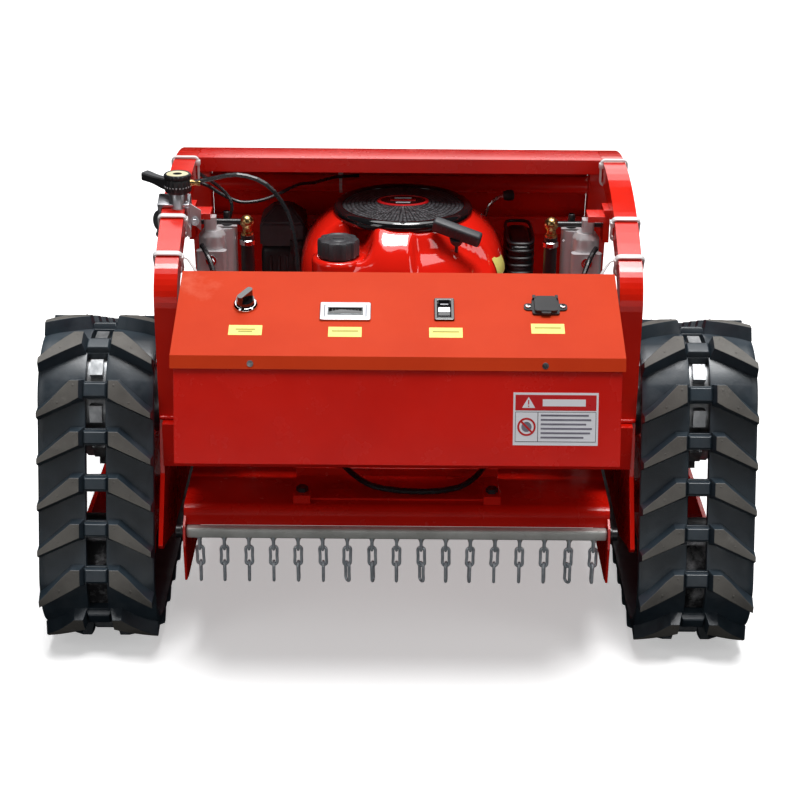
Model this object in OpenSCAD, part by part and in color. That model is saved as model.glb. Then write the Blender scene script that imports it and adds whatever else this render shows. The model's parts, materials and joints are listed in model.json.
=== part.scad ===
// Remote-controlled brush mower on rubber tracks, with a cutting deck that lifts.
// X is across, +Y points to the far end away from the control box, +Z is up.
// The modules share one working frame, and placed() moves it along Y so that
// the origin is on the ground, under the middle of the bounding box.

/* [Tracks] */
// Overall width across both tracks
track_span = 930; // [926:1:940]
// Width of one rubber belt
belt_w = 150; // [144:1:152]
// Distance between neighbouring belt windows
pitch = 60; // [59:0.5:61]
// Number of belt windows round the track
windows = 32; // [32:1:33]
// Teeth on a drive sprocket
teeth = 9; // [9:1:9]
// Thickness of the belt without its lugs
belt_t = 12; // [10:1:13]
// Height of the tread lugs
lug_h = 17; // [14:1:18]
// Height of the drive axle above the ground
drive_z = 306; // [300:1:312]
// Distance along Y from the near idler to the drive axle
drive_set_back = 82; // [76:1:90]

/* [Body] */
// Width across the outer faces of the roll hoops
hoop_span = 620; // [612:1:624]
// Side of the square hoop tube
hoop_tube = 30; // [26:1:32]
// Radius of the long top bend of a hoop
hoop_crown_r = 420; // [410:5:430]
// Width of the control box lid
lid_w = 550; // [540:1:554]
// Height of the control box floor above the ground
box_floor_z = 321; // [318:1:326]
// Height of the front edge of the lid above the ground
lid_z = 449; // [444:1:454]
// Forward lean of the control box front
box_lean = 16; // [12:1:18]
// Rise of the lid from its front edge to its back edge
lid_rise = 52; // [46:1:56]

/* [Deck] */
// Outer width of the cutting deck
deck_w = 550; // [540:1:554]
// Thickness of the deck sheet
deck_t = 3; // [2:0.5:4]
// Number of hanging chains
chains = 17; // [15:1:19]
// Downward travel of the deck
deck_travel = 80; // [60:5:85]
// Length of the cutter blade
blade_l = 520; // [500:5:524]

/* [Engine] */
// Width of the engine cowl
cowl_w = 288; // [280:1:290]
// Diameter of the starter grille
grille_d = 190; // [180:1:196]

/* [Hidden] */

paint = "orangered";
steel = "silver";
black = "#202020";
rubber = "#26303a";

// Tracks: belt path in the YZ plane, as three circles on the neutral line
track_x = (track_span - belt_w) / 2;
neutral = belt_t / 2;
drive_pitch_r = teeth * pitch / (2 * PI);
drive_rim_r = drive_pitch_r - neutral;
idler_rim_r = 68;
idler_z = idler_rim_r + belt_t + lug_h;
drive_y = -214;
near_y = drive_y - drive_set_back;
wheel_gap = 0.4;
axle_r = 12;
run_gap = 0.05;
drive_c = [drive_y, drive_z, drive_pitch_r];
near_c = [near_y, idler_z, idler_rim_r + neutral];
far_c = [solve_far(330, 8), idler_z, idler_rim_r + neutral];
far_y = far_c[0];
n_nf = tangent_n(near_c, far_c);
n_fd = tangent_n(far_c, drive_c);
n_dn = tangent_n(drive_c, near_c) + 360;
s1 = arc_len(drive_c, n_dn - n_fd);
s2 = s1 + run_len(drive_c, near_c);
s3 = s2 + arc_len(near_c, n_nf + 360 - n_dn);
s4 = s3 + run_len(near_c, far_c);
s5 = s4 + arc_len(far_c, n_fd - n_nf);
belt_len = s5 + run_len(far_c, drive_c);
first_tooth = 24;
first_window = arc_len(drive_c, first_tooth);
window_w = 26;
window_l = 38;
plate_t = 6;
wheel_w = 56;
plate_x = wheel_w / 2 + 6;
roller_r = 23.6;
roller_z = belt_t + lug_h + roller_r + wheel_gap;
roller_ys = [-160, 18, 196];
roller_axle_r = 8;
link_tubes = [[-185, 150], [235, 150]];
link_tube_r = 24;

// Chassis
rail_z = 246;
rail_h = 60;
rail_top = rail_z + rail_h;
rail_near = -304;
rail_far = 265;
rail_w = 24;
beam_d = 40;
hoop_x = hoop_span / 2 - hoop_tube / 2;
hoop_in = hoop_span / 2 - hoop_tube;
side_plate_x = hoop_in + rail_w;

// Hoop centre line: near leg, tight bend, long crown, tight bend, far leg
leg_y = -273;
near_bend_r = 45;
far_bend_r = 60;
near_bend_z = 460;
crown_a0 = 123;
crown_a1 = 70;
far_leg_a = 10;
bend1 = [leg_y + near_bend_r, near_bend_z];
bend2 = bend1 + (near_bend_r - hoop_crown_r) * dir(crown_a0);
bend3 = bend2 + (hoop_crown_r - far_bend_r) * dir(crown_a1);
far_leg_top = bend3 + far_bend_r * dir(far_leg_a);
cover_a = 89;
cover_t = 2.5;

// Control box and its lid
lid_front = -418;
lid_run = 157;
lid_back = lid_front + lid_run;
lid_t = 2.5;
lip_h = 15;
lip_lean = 21;
lip_end = lid_front - lip_h * tan(lip_lean);
box_front_top = lip_end + lid_t + 0.5;
box_front_low = box_front_top - (lid_z - lip_h - box_floor_z) * tan(box_lean);
shift_y = -(box_front_low + far_y + idler_z) / 2;
lid_a = atan(lid_rise / lid_run);
lid_len = norm([lid_run, lid_rise]);
box_w = 542;
wall = 2;
knob_at = [-190, 97];
meter_at = [-65.5, 84];
rocker_at = [57, 89.5];
port_at = [183, 96];
meter_size = [63, 34];
rocker_size = [25, 42];
port_size = [34, 30];
box_screw_x = 178;

// Deck
deck_near = -355;
deck_far = 255;
deck_z = 213;
skirt_z = 187;
side_z = 110;
pad_h = 6;
bar_y = -360;
bar_z = 180;
bar_r = 7;
link_l = 31;
link_w = 13;
wire = 4;
chain_gap = 31.9;
link1_z = bar_z + 4;
link2_z = link1_z - link_l + 2 * wire + 0.2;
link3_z = link2_z - link_l + 2 * wire + 0.2;
swing_z = link2_z - wire / 2;

// Engine, on the deck
eng_x = 5;
eng_y = -9;
eng_z = deck_z + 4;
crank_r = 12.5;
cowl_z = 330;
fin_w = 130;
duct_low = 276;
grille_z = 505;
cap_at = [-82, -109];
cap_z = 470;
starter_at = [78, -112, 484];
starter_lean = 20;
rope_l = 125;
blade_z = 124;

// Actuators and gas struts
act_x = 250;
act_y = -129;
act_rod_r = 9;
strut_x = 205;
strut_y = -109;
strut_rod_r = 4;

// Throttle on the left hoop
thr_x = 6 - hoop_x;
thr_a = 108;
thr_y = hoop_point(thr_a)[0] - 8;
thr_z = 577;

// Routes of the leads that the machine holds at both ends
throttle_route = [[-270.5, -163, 588], [-251, -163, 592], [-211, -166, 600], [-173, -171, 589],
    [-146, -183, 557], [-134, -204, 518], [-131, -218, 480], [-130, -226, 435], [-130, -240, 402],
    [-130, -268, 392]];
left_lead_route = [[-262, -150, 498], [-252, -172, 490], [-240, -196, 466], [-228, -216, 434],
    [-220, -242, 404], [-218, -268, 392]];
left_feed_route = [[-233, -97, 510.6], [-233, -97, 514], [-229, -96, 521], [-226, -94, 534], [-231, -84, 545],
    [-250, -52, 552], [-278, -12, 556]];
right_lead_route = [[262, -150, 498], [252, -172, 490], [240, -196, 466], [228, -216, 434],
    [220, -242, 404], [218, -268, 392]];
rear_feed_route = [[-279, -36, 552], [-262, -36, 545], [-248, -37, 536], [-230, -38, 527],
    [-214, -38, 523], [-188, -28, 524], [-164, -8, 529], [-142, 24, 531], [-124, 62, 522],
    [-110, 104, 514], [-92, 130, 511], [-60, 142, 509.9]];
motor_lead_route = [[-98, -214, 268.8], [-97, -218, 256], [-88, -240, 243], [-76, -262, 235],
    [-56, -290, 228], [-30, -312, 223], [10, -322, 221.5], [50, -322, 221.5], [84, -310, 223],
    [106, -288, 229], [118, -262, 235], [124, -240, 243], [130, -218, 256], [130, -214, 268.8]];

function dir(a) = [cos(a), sin(a)];
function arc_pts(c, r, a0, a1, n) = [for (i = [0:n]) c + r * dir(a0 + (a1 - a0) * i / n)];
function reversed(v) = [for (i = [len(v) - 1:-1:0]) v[i]];
function arc_len(c, a) = c[2] * a * PI / 180;
function centre_gap(a, b) = norm([b[0] - a[0], b[1] - a[1]]);
function run_len(a, b) = sqrt(pow(centre_gap(a, b), 2) - pow(a[2] - b[2], 2));
// Direction of the outward normal of the straight run from wheel a to wheel b
function tangent_n(a, b) =
    atan2(b[1] - a[1], b[0] - a[0]) - 90 + asin((a[2] - b[2]) / centre_gap(a, b));
function loop_len(f) =
    let (nf = tangent_n(near_c, f), fd = tangent_n(f, drive_c), dn = tangent_n(drive_c, near_c) + 360)
    run_len(near_c, f) + run_len(f, drive_c) + run_len(drive_c, near_c)
    + arc_len(f, fd - nf) + arc_len(drive_c, dn - fd) + arc_len(near_c, nf + 360 - dn);
// Far idler position at which the belt is a whole number of pitches long
function solve_far(y, n) = n == 0 ? y :
    solve_far(y - (loop_len([y, near_c[1], near_c[2]]) - windows * pitch) / 2, n - 1);
function on_arc(c, a0, t) =
    let (a = a0 + t / c[2] * 180 / PI) [c[0] + c[2] * cos(a), c[1] + c[2] * sin(a), a];
function on_run(c, n, t) =
    [c[0] + c[2] * cos(n) - t * sin(n), c[1] + c[2] * sin(n) + t * cos(n), n];
// Point and outward normal of the neutral line at distance s along the belt
function belt_at(s) =
    s >= belt_len ? belt_at(s - belt_len) :
    s < s1 ? on_arc(drive_c, n_fd, s) :
    s < s2 ? on_run(drive_c, n_dn, s - s1) :
    s < s3 ? on_arc(near_c, n_dn, s - s2) :
    s < s4 ? on_run(near_c, n_nf + 360, s - s3) :
    s < s5 ? on_arc(far_c, n_nf + 360, s - s4) :
    on_run(far_c, n_fd + 360, s - s5);
// Belt outline, offset outwards by h from the neutral line
function belt_outline(h) = concat(
    arc_pts([drive_c[0], drive_c[1]], drive_c[2] + h, n_fd, n_dn, 16),
    arc_pts([near_c[0], near_c[1]], near_c[2] + h, n_dn, n_nf + 360, 16),
    arc_pts([far_c[0], far_c[1]], far_c[2] + h, n_nf + 360, n_fd + 360, 24));
// Side outline of a hoop, offset outwards by h from the centre line
function hoop_side(h, a0, z_end) = let (
    drop = (far_leg_top[1] + h * sin(far_leg_a) - z_end) / cos(far_leg_a)) concat(
    a0 > 179 ? [[leg_y - h, rail_top]] : [],
    a0 > 179 ? arc_pts(bend1, near_bend_r + h, 180, crown_a0, 8) : [],
    arc_pts(bend2, hoop_crown_r + h, min(a0, crown_a0), crown_a1, 20),
    arc_pts(bend3, far_bend_r + h, crown_a1, far_leg_a, 10),
    [far_leg_top + h * dir(far_leg_a) + drop * [sin(far_leg_a), -cos(far_leg_a)]]);
function hoop_point(a) = a > crown_a0 ? bend1 + near_bend_r * dir(a) : bend2 + hoop_crown_r * dir(a);
function rr(w, h, r) = [for (q = [0:3]) for (i = [0:5]) let (a = q * 90 + i * 18)
    [(q == 0 || q == 3 ? 1 : -1) * (w / 2 - r) + r * cos(a), (q < 2 ? 1 : -1) * (h / 2 - r) + r * sin(a)]];
// Catmull-Rom curve through p, with m steps between neighbouring points
function smooth(p, m) = concat([for (i = [0:len(p) - 2]) for (j = [0:m - 1])
    let (a = p[max(i - 1, 0)], b = p[i], c = p[i + 1], d = p[min(i + 2, len(p) - 1)], t = j / m)
    0.5 * (2 * b + (c - a) * t + (2 * a - 5 * b + 4 * c - d) * t * t
    + (3 * b - a - 3 * c + d) * t * t * t)], [p[len(p) - 1]]);
function unit(v) = v / norm(v);

// Extrudes a YZ outline along X, from x0 over a width w
module yz(x0, w) { translate([x0, 0, 0]) rotate([90, 0, 90]) linear_extrude(w) children(); }
module xcyl(x0, l, r, fn = 48) {
    translate([x0, 0, 0]) rotate([0, 90, 0]) cylinder(h = l, r = r, $fn = fn);
}
module block(a, b) { translate(a) cube(b - a); }
module rblock(c, w, d, h, r) { translate(c) linear_extrude(h) polygon(rr(w, d, r)); }
module placed() { translate([0, shift_y, 0]) children(); }
module on_side(left) { if (left) mirror([1, 0, 0]) children(); else children(); }
module both() { children(); mirror([1, 0, 0]) children(); }
module on_lid(at) {
    translate([at[0], lid_front, lid_z]) rotate([lid_a, 0, 0]) translate([0, at[1], 0]) children();
}
module at_station(i, shift = 0) {
    p = belt_at(first_window + i * pitch + shift);
    translate([0, p[0], p[1]]) rotate([p[2] - 90, 0, 0]) children();
}
// Round lead swept along a smoothed route
module lead(route, r, m = 3, sides = 8) {
    p = smooth(route, m);
    n = len(p);
    pts = [for (i = [0:n - 1]) let (
        t = unit(p[min(i + 1, n - 1)] - p[max(i - 1, 0)]),
        u = unit(cross(t, [0.13, 0.94, 0.31])), v = cross(u, t))
        for (k = [0:sides - 1]) p[i] + r * (cos(360 * k / sides) * u + sin(360 * k / sides) * v)];
    faces = concat([[for (k = [sides - 1:-1:0]) k]], [[for (k = [0:sides - 1]) (n - 1) * sides + k]],
        [for (i = [0:n - 2]) for (k = [0:sides - 1])
        let (a = i * sides + k, b = i * sides + (k + 1) % sides) [a, b, b + sides, a + sides]]);
    polyhedron(pts, faces);
}
// One chain link hanging down from z, in the XZ plane
module chain_link(z) {
    bend_r = (link_w - wire) / 2;
    leg = link_l - link_w;
    translate([0, 0, z - link_w / 2]) {
        rotate([90, 0, 0]) rotate_extrude(angle = 180, $fn = 32)
            translate([bend_r, 0]) circle(d = wire, $fn = 16);
        translate([0, 0, -leg]) rotate([-90, 0, 0]) rotate_extrude(angle = 180, $fn = 32)
            translate([bend_r, 0]) circle(d = wire, $fn = 16);
        for (s = [-1, 1]) translate([s * bend_r, 0, -leg]) cylinder(h = leg, d = wire, $fn = 16);
    }
}

// ---- Chassis ----
module chassis_frame() {
    mount_r = 42;
    color(paint) difference() {
        union() {
            both() block([hoop_in, rail_near, rail_z], [side_plate_x + 1, rail_far, rail_top]);
            both() yz(side_plate_x, plate_t) polygon(concat(
                arc_pts([-342, 160], 14, 200, 290, 6),
                [[-245, 118], [290, 118], [302, 130], [302, 232], [rail_far, rail_top]],
                arc_pts([drive_y, drive_z], mount_r, 0, 155, 12), [[-257, rail_top],
                [rail_near + 16, rail_top], [rail_near, 236]]));
            for (x = [-200, 200]) block([x - 24, rail_near + 2, rail_top - 1],
                [x + 24, rail_near + beam_d, box_floor_z]);
            block([-hoop_in - 1, rail_near, rail_z], [hoop_in + 1, rail_near + beam_d, rail_top]);
            block([-hoop_in - 1, rail_far - beam_d, rail_z], [hoop_in + 1, rail_far, rail_top]);
        }
        both() translate([0, drive_y, drive_z]) xcyl(hoop_in - 5, 50, 25);
    }
}
module hoop(left) {
    color(paint) on_side(left) {
        yz(hoop_in, hoop_tube) polygon(concat(hoop_side(hoop_tube / 2, 180, rail_top),
            reversed(hoop_side(-hoop_tube / 2, 180, rail_top))));
        block([hoop_in - 8, act_y - 3, 500], [hoop_in + 0.5, act_y + 30, 545]);
        block([hoop_in - 30, act_y - 16, 532], [hoop_in - 7, act_y + 16, 540]);
    }
}
module front_cover() {
    w = 2 * hoop_in - 1;
    edge = bend2 + (hoop_crown_r + hoop_tube / 2) * dir(cover_a);
    color(paint) {
        yz(-w / 2, w) polygon(concat(hoop_side(hoop_tube / 2, cover_a, rail_top + 8),
            reversed(hoop_side(hoop_tube / 2 - cover_t, cover_a, rail_top + 8))));
        block([-w / 2, edge[0], edge[1] - 20], [w / 2, edge[0] + cover_t, edge[1] - 0.5]);
    }
}
module cross_tubes() {
    tube_at = [148, 496];
    bar_low = 412;
    bar_high = 440;
    color(paint) {
        translate([0, tube_at[0], tube_at[1]]) xcyl(-hoop_in, 2 * hoop_in, 12.5);
        block([-hoop_in, 168, bar_low], [hoop_in, 174, bar_high]);
    }
}

// ---- Control box ----
// YZ outline of the box, moved inwards by inset, with its top just under the lid
module box_outline(inset) {
    gap = lid_t / cos(lid_a) + 0.05;
    front = box_front_top + inset + lip_h * tan(lip_lean);
    back = lid_back - wall - inset;
    polygon([[box_front_low + inset, box_floor_z + inset],
        [box_front_top + inset, lid_z - lip_h],
        [front, lid_z + (front - lid_front) * tan(lid_a) - gap],
        [back, lid_z + (back - lid_front) * tan(lid_a) - gap],
        [back, box_floor_z + inset]]);
}
module control_box() {
    grommets = [[throttle_route[9][0], throttle_route[9][2]], [-218, 392], [218, 392]];
    color(paint) difference() {
        yz(-box_w / 2, box_w) box_outline(0);
        yz(-box_w / 2 + wall, box_w - 2 * wall) box_outline(wall);
        translate([0, 0, 3 * wall]) yz(-box_w / 2 + 3 * wall, box_w - 6 * wall) box_outline(3 * wall);
        for (g = grommets) translate([g[0], lid_back - 20, g[1]]) rotate([-90, 0, 0])
            cylinder(h = 40, r = 6, $fn = 32);
    }
}
module control_lid() {
    flange = 12;
    color(paint) difference() {
        union() {
            yz(-lid_w / 2, lid_w) polygon([[lid_front, lid_z], [lid_back, lid_z + lid_rise],
                [lid_back, lid_z + lid_rise - flange], [lid_back - wall, lid_z + lid_rise - flange],
                [lid_back - wall, lid_z + lid_rise - wall * tan(lid_a) - lid_t / cos(lid_a)],
                [lid_front + lid_t, lid_z + lid_t * tan(lid_a) - lid_t / cos(lid_a)],
                [lip_end + lid_t, lid_z - lip_h], [lip_end, lid_z - lip_h]]);
            both() yz(lid_w / 2 - wall, wall) polygon([[lid_front, lid_z], [lid_back, lid_z + lid_rise],
                [lid_back, lid_z + lid_rise - flange], [lid_front, lid_z - flange]]);
        }
        on_lid(knob_at) translate([0, 0, -10]) cylinder(h = 20, r = 11.2, $fn = 48);
        on_lid(meter_at) cube([meter_size[0] - 9, meter_size[1] - 9, 20], center = true);
        on_lid(rocker_at) cube([rocker_size[0] - 4, rocker_size[1] - 4, 20], center = true);
        on_lid(port_at) translate([0, 0, -10]) cylinder(h = 20, r = 11.2, $fn = 48);
        for (s = [-1, 1]) at_lid_screw(s) translate([0, 0, -1]) cylinder(h = lid_t + 2, r = 2.1, $fn = 24);
    }
}
// Frame of a lid screw: origin on the lip's outer face, Z pointing into the box
module at_lid_screw(s) {
    drop = 9;
    translate([s * box_screw_x, lid_front - drop * tan(lip_lean), lid_z - drop])
        rotate([-90 - lip_lean, 0, 0]) children();
}
module lid_screws() {
    color(black) for (s = [-1, 1]) at_lid_screw(s) {
        cylinder(h = lid_t - 0.4, r = 2, $fn = 24);
        translate([0, 0, -0.5]) cylinder(h = 0.5, r = 4, $fn = 32);
    }
}
module battery_pack() {
    size = [150, 90, 92];
    color(black) for (s = [-1, 1]) translate([s * 165, -348, box_floor_z + wall]) {
        linear_extrude(size[2]) polygon(rr(size[0], size[1], 6));
        for (t = [-1, 1]) translate([t * 50, 28, size[2]]) cylinder(h = 12, r = 7, $fn = 32);
    }
}
module drive_controller() {
    size = [120, 100, 60];
    color(steel) translate([0, -345, box_floor_z + wall]) {
        linear_extrude(size[2] - 12) polygon(rr(size[0], size[1], 4));
        for (i = [-5:5]) translate([i * 10, 0, size[2] - 12]) block([-1.5, -46, -1], [1.5, 46, 12]);
    }
}
module charge_meter() {
    rim = 3;
    color(steel) on_lid(meter_at) {
        difference() {
            linear_extrude(rim) polygon(rr(meter_size[0], meter_size[1], 2));
            translate([0, 0, 1]) linear_extrude(rim) square(meter_size - [12, 12], center = true);
        }
        translate([0, 0, -18]) linear_extrude(18.5) square(meter_size - [12, 12], center = true);
    }
}
module charging_port() {
    color(black) on_lid(port_at) {
        difference() {
            union() {
                linear_extrude(3) polygon(rr(port_size[0], port_size[1], 3));
                linear_extrude(2) polygon(rr(54, 13, 5));
                translate([0, 0, -20]) cylinder(h = 21, r = 11, $fn = 48);
            }
            translate([0, 0, -12]) cylinder(h = 20, r = 8, $fn = 48);
        }
        for (s = [-1, 1]) translate([s * 21.5, 0, 2]) cylinder(h = 1.6, r = 3.4, $fn = 32);
        for (s = [-1, 1]) translate([s * 14, 15, 3]) block([-2, -3, -0.5], [2, 3, 3.5]);
        translate([0, 15, 5]) xcyl(-13, 26, 1, 24);
    }
}
module port_cover() {
    color(black) on_lid(port_at) difference() {
        union() {
            translate([0, -1, 3.2]) linear_extrude(4) polygon(rr(28, 26, 3));
            translate([0, 15, 5]) xcyl(-11, 22, 1.9, 32);
            block([-11, 10, 3.4], [11, 15, 7]);
            translate([0, -15, 3.2]) linear_extrude(3) polygon(rr(12, 6, 2));
        }
        translate([0, 15, 5]) xcyl(-20, 40, 1 + run_gap, 24);
    }
}
module start_switch() {
    color(steel) on_lid(knob_at) difference() {
        union() {
            rotate_extrude($fn = 64) polygon([[0, 0], [15.5, 0], [15.5, 2], [13.5, 4.5], [0, 4.5]]);
            translate([0, 0, -24]) cylinder(h = 25, r = 11, $fn = 48);
        }
        translate([0, 0, -8]) cylinder(h = 20, r = 5 + run_gap, $fn = 48);
    }
}
module start_knob() {
    color(black) on_lid(knob_at) {
        translate([0, 0, -7]) cylinder(h = 12, r = 5, $fn = 48);
        translate([0, 0, 4.8]) cylinder(h = 5, r = 11.5, $fn = 48);
        translate([0, 0, 9]) rotate([0, 0, -35]) linear_extrude(11) polygon(rr(8, 25, 3.5));
    }
}
module rocker_frame() {
    color(black) on_lid(rocker_at) difference() {
        union() {
            linear_extrude(3) polygon(rr(rocker_size[0], rocker_size[1], 2));
            translate([0, 0, -16]) linear_extrude(17) square(rocker_size - [5, 5], center = true);
        }
        translate([0, 0, -13]) linear_extrude(30) square([16.4, 33.4], center = true);
    }
}
module rocker_switch() {
    tilt = 10;
    color(black) on_lid(rocker_at) translate([0, 0, -1]) rotate([tilt, 0, 0]) yz(-8, 16)
        polygon(concat([[-11, -6], [11, -6]], arc_pts([0, 24], 25.4, -52, -128, 10)));
}

// ---- Hoop fittings ----
module actuator(left) {
    color(steel) on_side(left) difference() {
        union() {
            translate([act_x, act_y, 300]) cylinder(h = 206, r = 18, $fn = 64);
            translate([act_x, act_y, 506]) cylinder(h = 8, r1 = 18, r2 = 13, $fn = 64);
            translate([act_x - 17, act_y + 26, 372]) cylinder(h = 138, r = 14, $fn = 64);
            translate([act_x, act_y - 17, 300]) linear_extrude(190) polygon(rr(40, 14, 5));
            block([act_x - 28, act_y + 2, 372], [act_x - 2, act_y + 24, 420]);
            rblock([act_x + 2, act_y, 513], 16, 16, 19, 3);
        }
        translate([act_x, act_y, 290]) cylinder(h = 160, r = act_rod_r + run_gap, $fn = 64);
    }
}
module actuator_rod(left) {
    color(steel) on_side(left) {
        translate([act_x, act_y, 258]) cylinder(h = 180, r = act_rod_r, $fn = 64);
        translate([act_x, act_y, deck_z + pad_h]) linear_extrude(42) polygon(rr(24, 24, 4));
    }
}
module gas_struts() {
    color(black) both() {
        difference() {
            translate([strut_x, strut_y, 350]) cylinder(h = 150, r = 9, $fn = 48);
            translate([strut_x, strut_y, 340]) cylinder(h = 140, r = strut_rod_r + run_gap, $fn = 48);
        }
        translate([strut_x, strut_y, 499.5]) cylinder(h = 12, r = 5, $fn = 32);
        translate([strut_x, strut_y, 518]) sphere(r = 9, $fn = 32);
        translate([0, strut_y, 518]) xcyl(strut_x, hoop_in - 8 - strut_x, 4, 24);
    }
}
module gas_strut_rods() {
    color(black) both() {
        translate([strut_x, strut_y, deck_z + pad_h + 1]) cylinder(h = 240, r = strut_rod_r, $fn = 48);
        translate([strut_x, strut_y, deck_z + pad_h]) cylinder(h = 26, r = 8, $fn = 32);
    }
}
module throttle_clamp() {
    clamp_gap = 1.2;
    clamp_w = hoop_tube + 12;
    p = hoop_point(thr_a);
    color(steel) {
        difference() {
            union() {
                translate([-hoop_x, p[0], p[1]]) rotate([thr_a - 90, 0, 0])
                    translate([0, 0, -clamp_w / 2]) linear_extrude(clamp_w) polygon(rr(clamp_w, 26, 3));
                translate([thr_x, thr_y, thr_z - 26]) cylinder(h = 24, r = 12, $fn = 64);
            }
            translate([-hoop_x, p[0], p[1]]) rotate([thr_a - 90, 0, 0])
                cube([hoop_tube + clamp_gap, 60, hoop_tube + clamp_gap], center = true);
        }
        translate([thr_x, thr_y, thr_z - 2.5]) cylinder(h = 24, r = 3, $fn = 32);
        translate([thr_x, thr_y, thr_z + 17.2]) cylinder(h = 6, r = 17.5, $fn = 64);
    }
}
module throttle_lever() {
    arm_a = 150;
    color(black) translate([thr_x, thr_y, thr_z - 1.8]) difference() {
        union() {
            cylinder(h = 18.8, r = 17.5, $fn = 64);
            rotate([0, 0, arm_a]) translate([0, -6, 2]) cube([44, 12, 6]);
            rotate([0, 0, arm_a]) translate([38, 0, 2]) linear_extrude(12) polygon(rr(16, 16, 5));
        }
        translate([0, 0, -1]) cylinder(h = 22, r = 3 + run_gap, $fn = 32);
    }
}
module throttle_cable() { color(black) lead(throttle_route, 3); }
module wiring() {
    color(black) {
        lead(left_lead_route, 3.5);
        lead(right_lead_route, 3.5);
        lead(left_feed_route, 2.5);
        lead(rear_feed_route, 2.5);
        lead(motor_lead_route, 4);
    }
}
module cable_ties() {
    band = 1.4;
    tie_gap = 0.6;
    color("white") both() for (a = [121, 112, 90]) let (p = hoop_point(a))
        translate([hoop_x, p[0], p[1]]) rotate([a - 90, 0, 0]) difference() {
            cube([hoop_tube + 2 * band, 5, hoop_tube + 2 * band], center = true);
            cube([hoop_tube + tie_gap, 9, hoop_tube + tie_gap], center = true);
        }
}

// ---- Tracks ----
module track_frame(left) {
    outline_high = [[near_y - 24, 70], [-190, 38], [225, 38], [far_y + 24, 70], [far_y + 24, 124],
        [255, 182], [205, 182], [-140, 182], [-250, 182], [near_y - 24, 124]];
    outline_low = [[near_y - 24, 70], [-190, 38], [225, 38], [far_y + 24, 70], [far_y + 24, 124],
        [near_y - 24, 124]];
    axles = concat([[near_y, idler_z, axle_r], [far_y, idler_z, axle_r]],
        [for (y = roller_ys) [y, roller_z, roller_axle_r]]);
    color(paint) on_side(left) {
        yz(track_x - plate_x - plate_t, plate_t) polygon(outline_high);
        yz(track_x + plate_x, plate_t) polygon(outline_low);
        for (t = link_tubes) translate([0, t[0], t[1]])
            xcyl(side_plate_x + plate_t, track_x - plate_x - side_plate_x - plate_t - 5, link_tube_r);
        for (a = axles) translate([0, a[0], a[1]]) {
            xcyl(track_x - plate_x - plate_t - 6, 2 * (plate_x + plate_t + 6), a[2]);
            xcyl(track_x - plate_x - plate_t - 6, 6.5, a[2] + 5, 32);
            xcyl(track_x + plate_x + plate_t - 0.5, 6.5, a[2] + 5, 32);
        }
    }
}
module track_belt(left) {
    lug_root = 5;
    lug_in = 15;
    lug_out = belt_w / 2 - 3;
    lug_flat = 14;
    // Each half lug is cut into strips that follow the bend of the belt, as [x, lower y, upper y]
    lug_ends = [[lug_in, -9, 9], [lug_in + lug_flat, -15, 9], [lug_in + 30, -22, -5],
        [lug_in + 44, -28, -16], [lug_out, -34, -27]];
    color(rubber) on_side(left) translate([track_x, 0, 0]) {
        difference() {
            yz(-belt_w / 2, belt_w) polygon(belt_outline(neutral));
            yz(-belt_w / 2 - 1, belt_w + 2) polygon(belt_outline(-neutral));
            for (i = [0:windows - 1]) at_station(i) cube([window_w, window_l, 3 * belt_t], center = true);
        }
        for (i = [0:windows - 1]) for (k = [0:len(lug_ends) - 2])
            let (a = lug_ends[k], b = lug_ends[k + 1], mid = (a[1] + a[2] + b[1] + b[2]) / 4)
            at_station(i, pitch / 2 - mid) both() translate([0, -mid, neutral - lug_root])
                linear_extrude(lug_h + lug_root)
                    polygon([[a[0], a[1]], [b[0] + 0.1, b[1]], [b[0] + 0.1, b[2]], [a[0], a[2]]]);
    }
}
module sprocket(left) {
    rim_r = drive_rim_r - wheel_gap;
    tooth = [16, 22];
    color(steel) on_side(left) translate([track_x, drive_y, drive_z]) {
        difference() {
            union() {
                xcyl(-22, 44, rim_r, 96);
                xcyl(-30, 60, 32);
                for (i = [0:teeth - 1]) rotate([n_fd + first_tooth - 90 + i * 360 / teeth, 0, 0])
                    translate([-tooth[0] / 2, -tooth[1] / 2, rim_r - 8])
                        cube([tooth[0], tooth[1], 8 + belt_t - 2]);
            }
            for (s = [-1, 1]) rotate([0, 90, 0]) translate([0, 0, s * 22]) difference() {
                cylinder(h = 32, r = rim_r - 10, center = true, $fn = 96);
                cylinder(h = 40, r = 32, center = true, $fn = 48);
            }
        }
        xcyl(220 - track_x, track_x - 220 + 34, crank_r);
    }
}
module idler(left, y) {
    rim_r = idler_rim_r - wheel_gap;
    color(black) on_side(left) translate([track_x, y, idler_z]) difference() {
        xcyl(-wheel_w / 2, wheel_w, rim_r, 96);
        for (s = [-1, 1]) rotate([0, 90, 0]) translate([0, 0, s * wheel_w / 2]) difference() {
            cylinder(h = 44, r = rim_r - 12, center = true, $fn = 96);
            cylinder(h = 50, r = 26, center = true, $fn = 48);
        }
        xcyl(-wheel_w, 2 * wheel_w, axle_r + run_gap);
    }
}
module roller(left, i) {
    color(black) on_side(left) translate([track_x, roller_ys[i - 1], roller_z]) difference() {
        xcyl(-wheel_w / 2, wheel_w, roller_r, 64);
        for (s = [-1, 1]) translate([0, 0, 0]) rotate([0, 90, 0]) translate([0, 0, s * wheel_w / 2])
            difference() {
                cylinder(h = 16, r = roller_r - 4, center = true, $fn = 64);
                cylinder(h = 20, r = roller_axle_r + 4, center = true, $fn = 48);
            }
        xcyl(-wheel_w, 2 * wheel_w, roller_axle_r + run_gap);
    }
}
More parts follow.
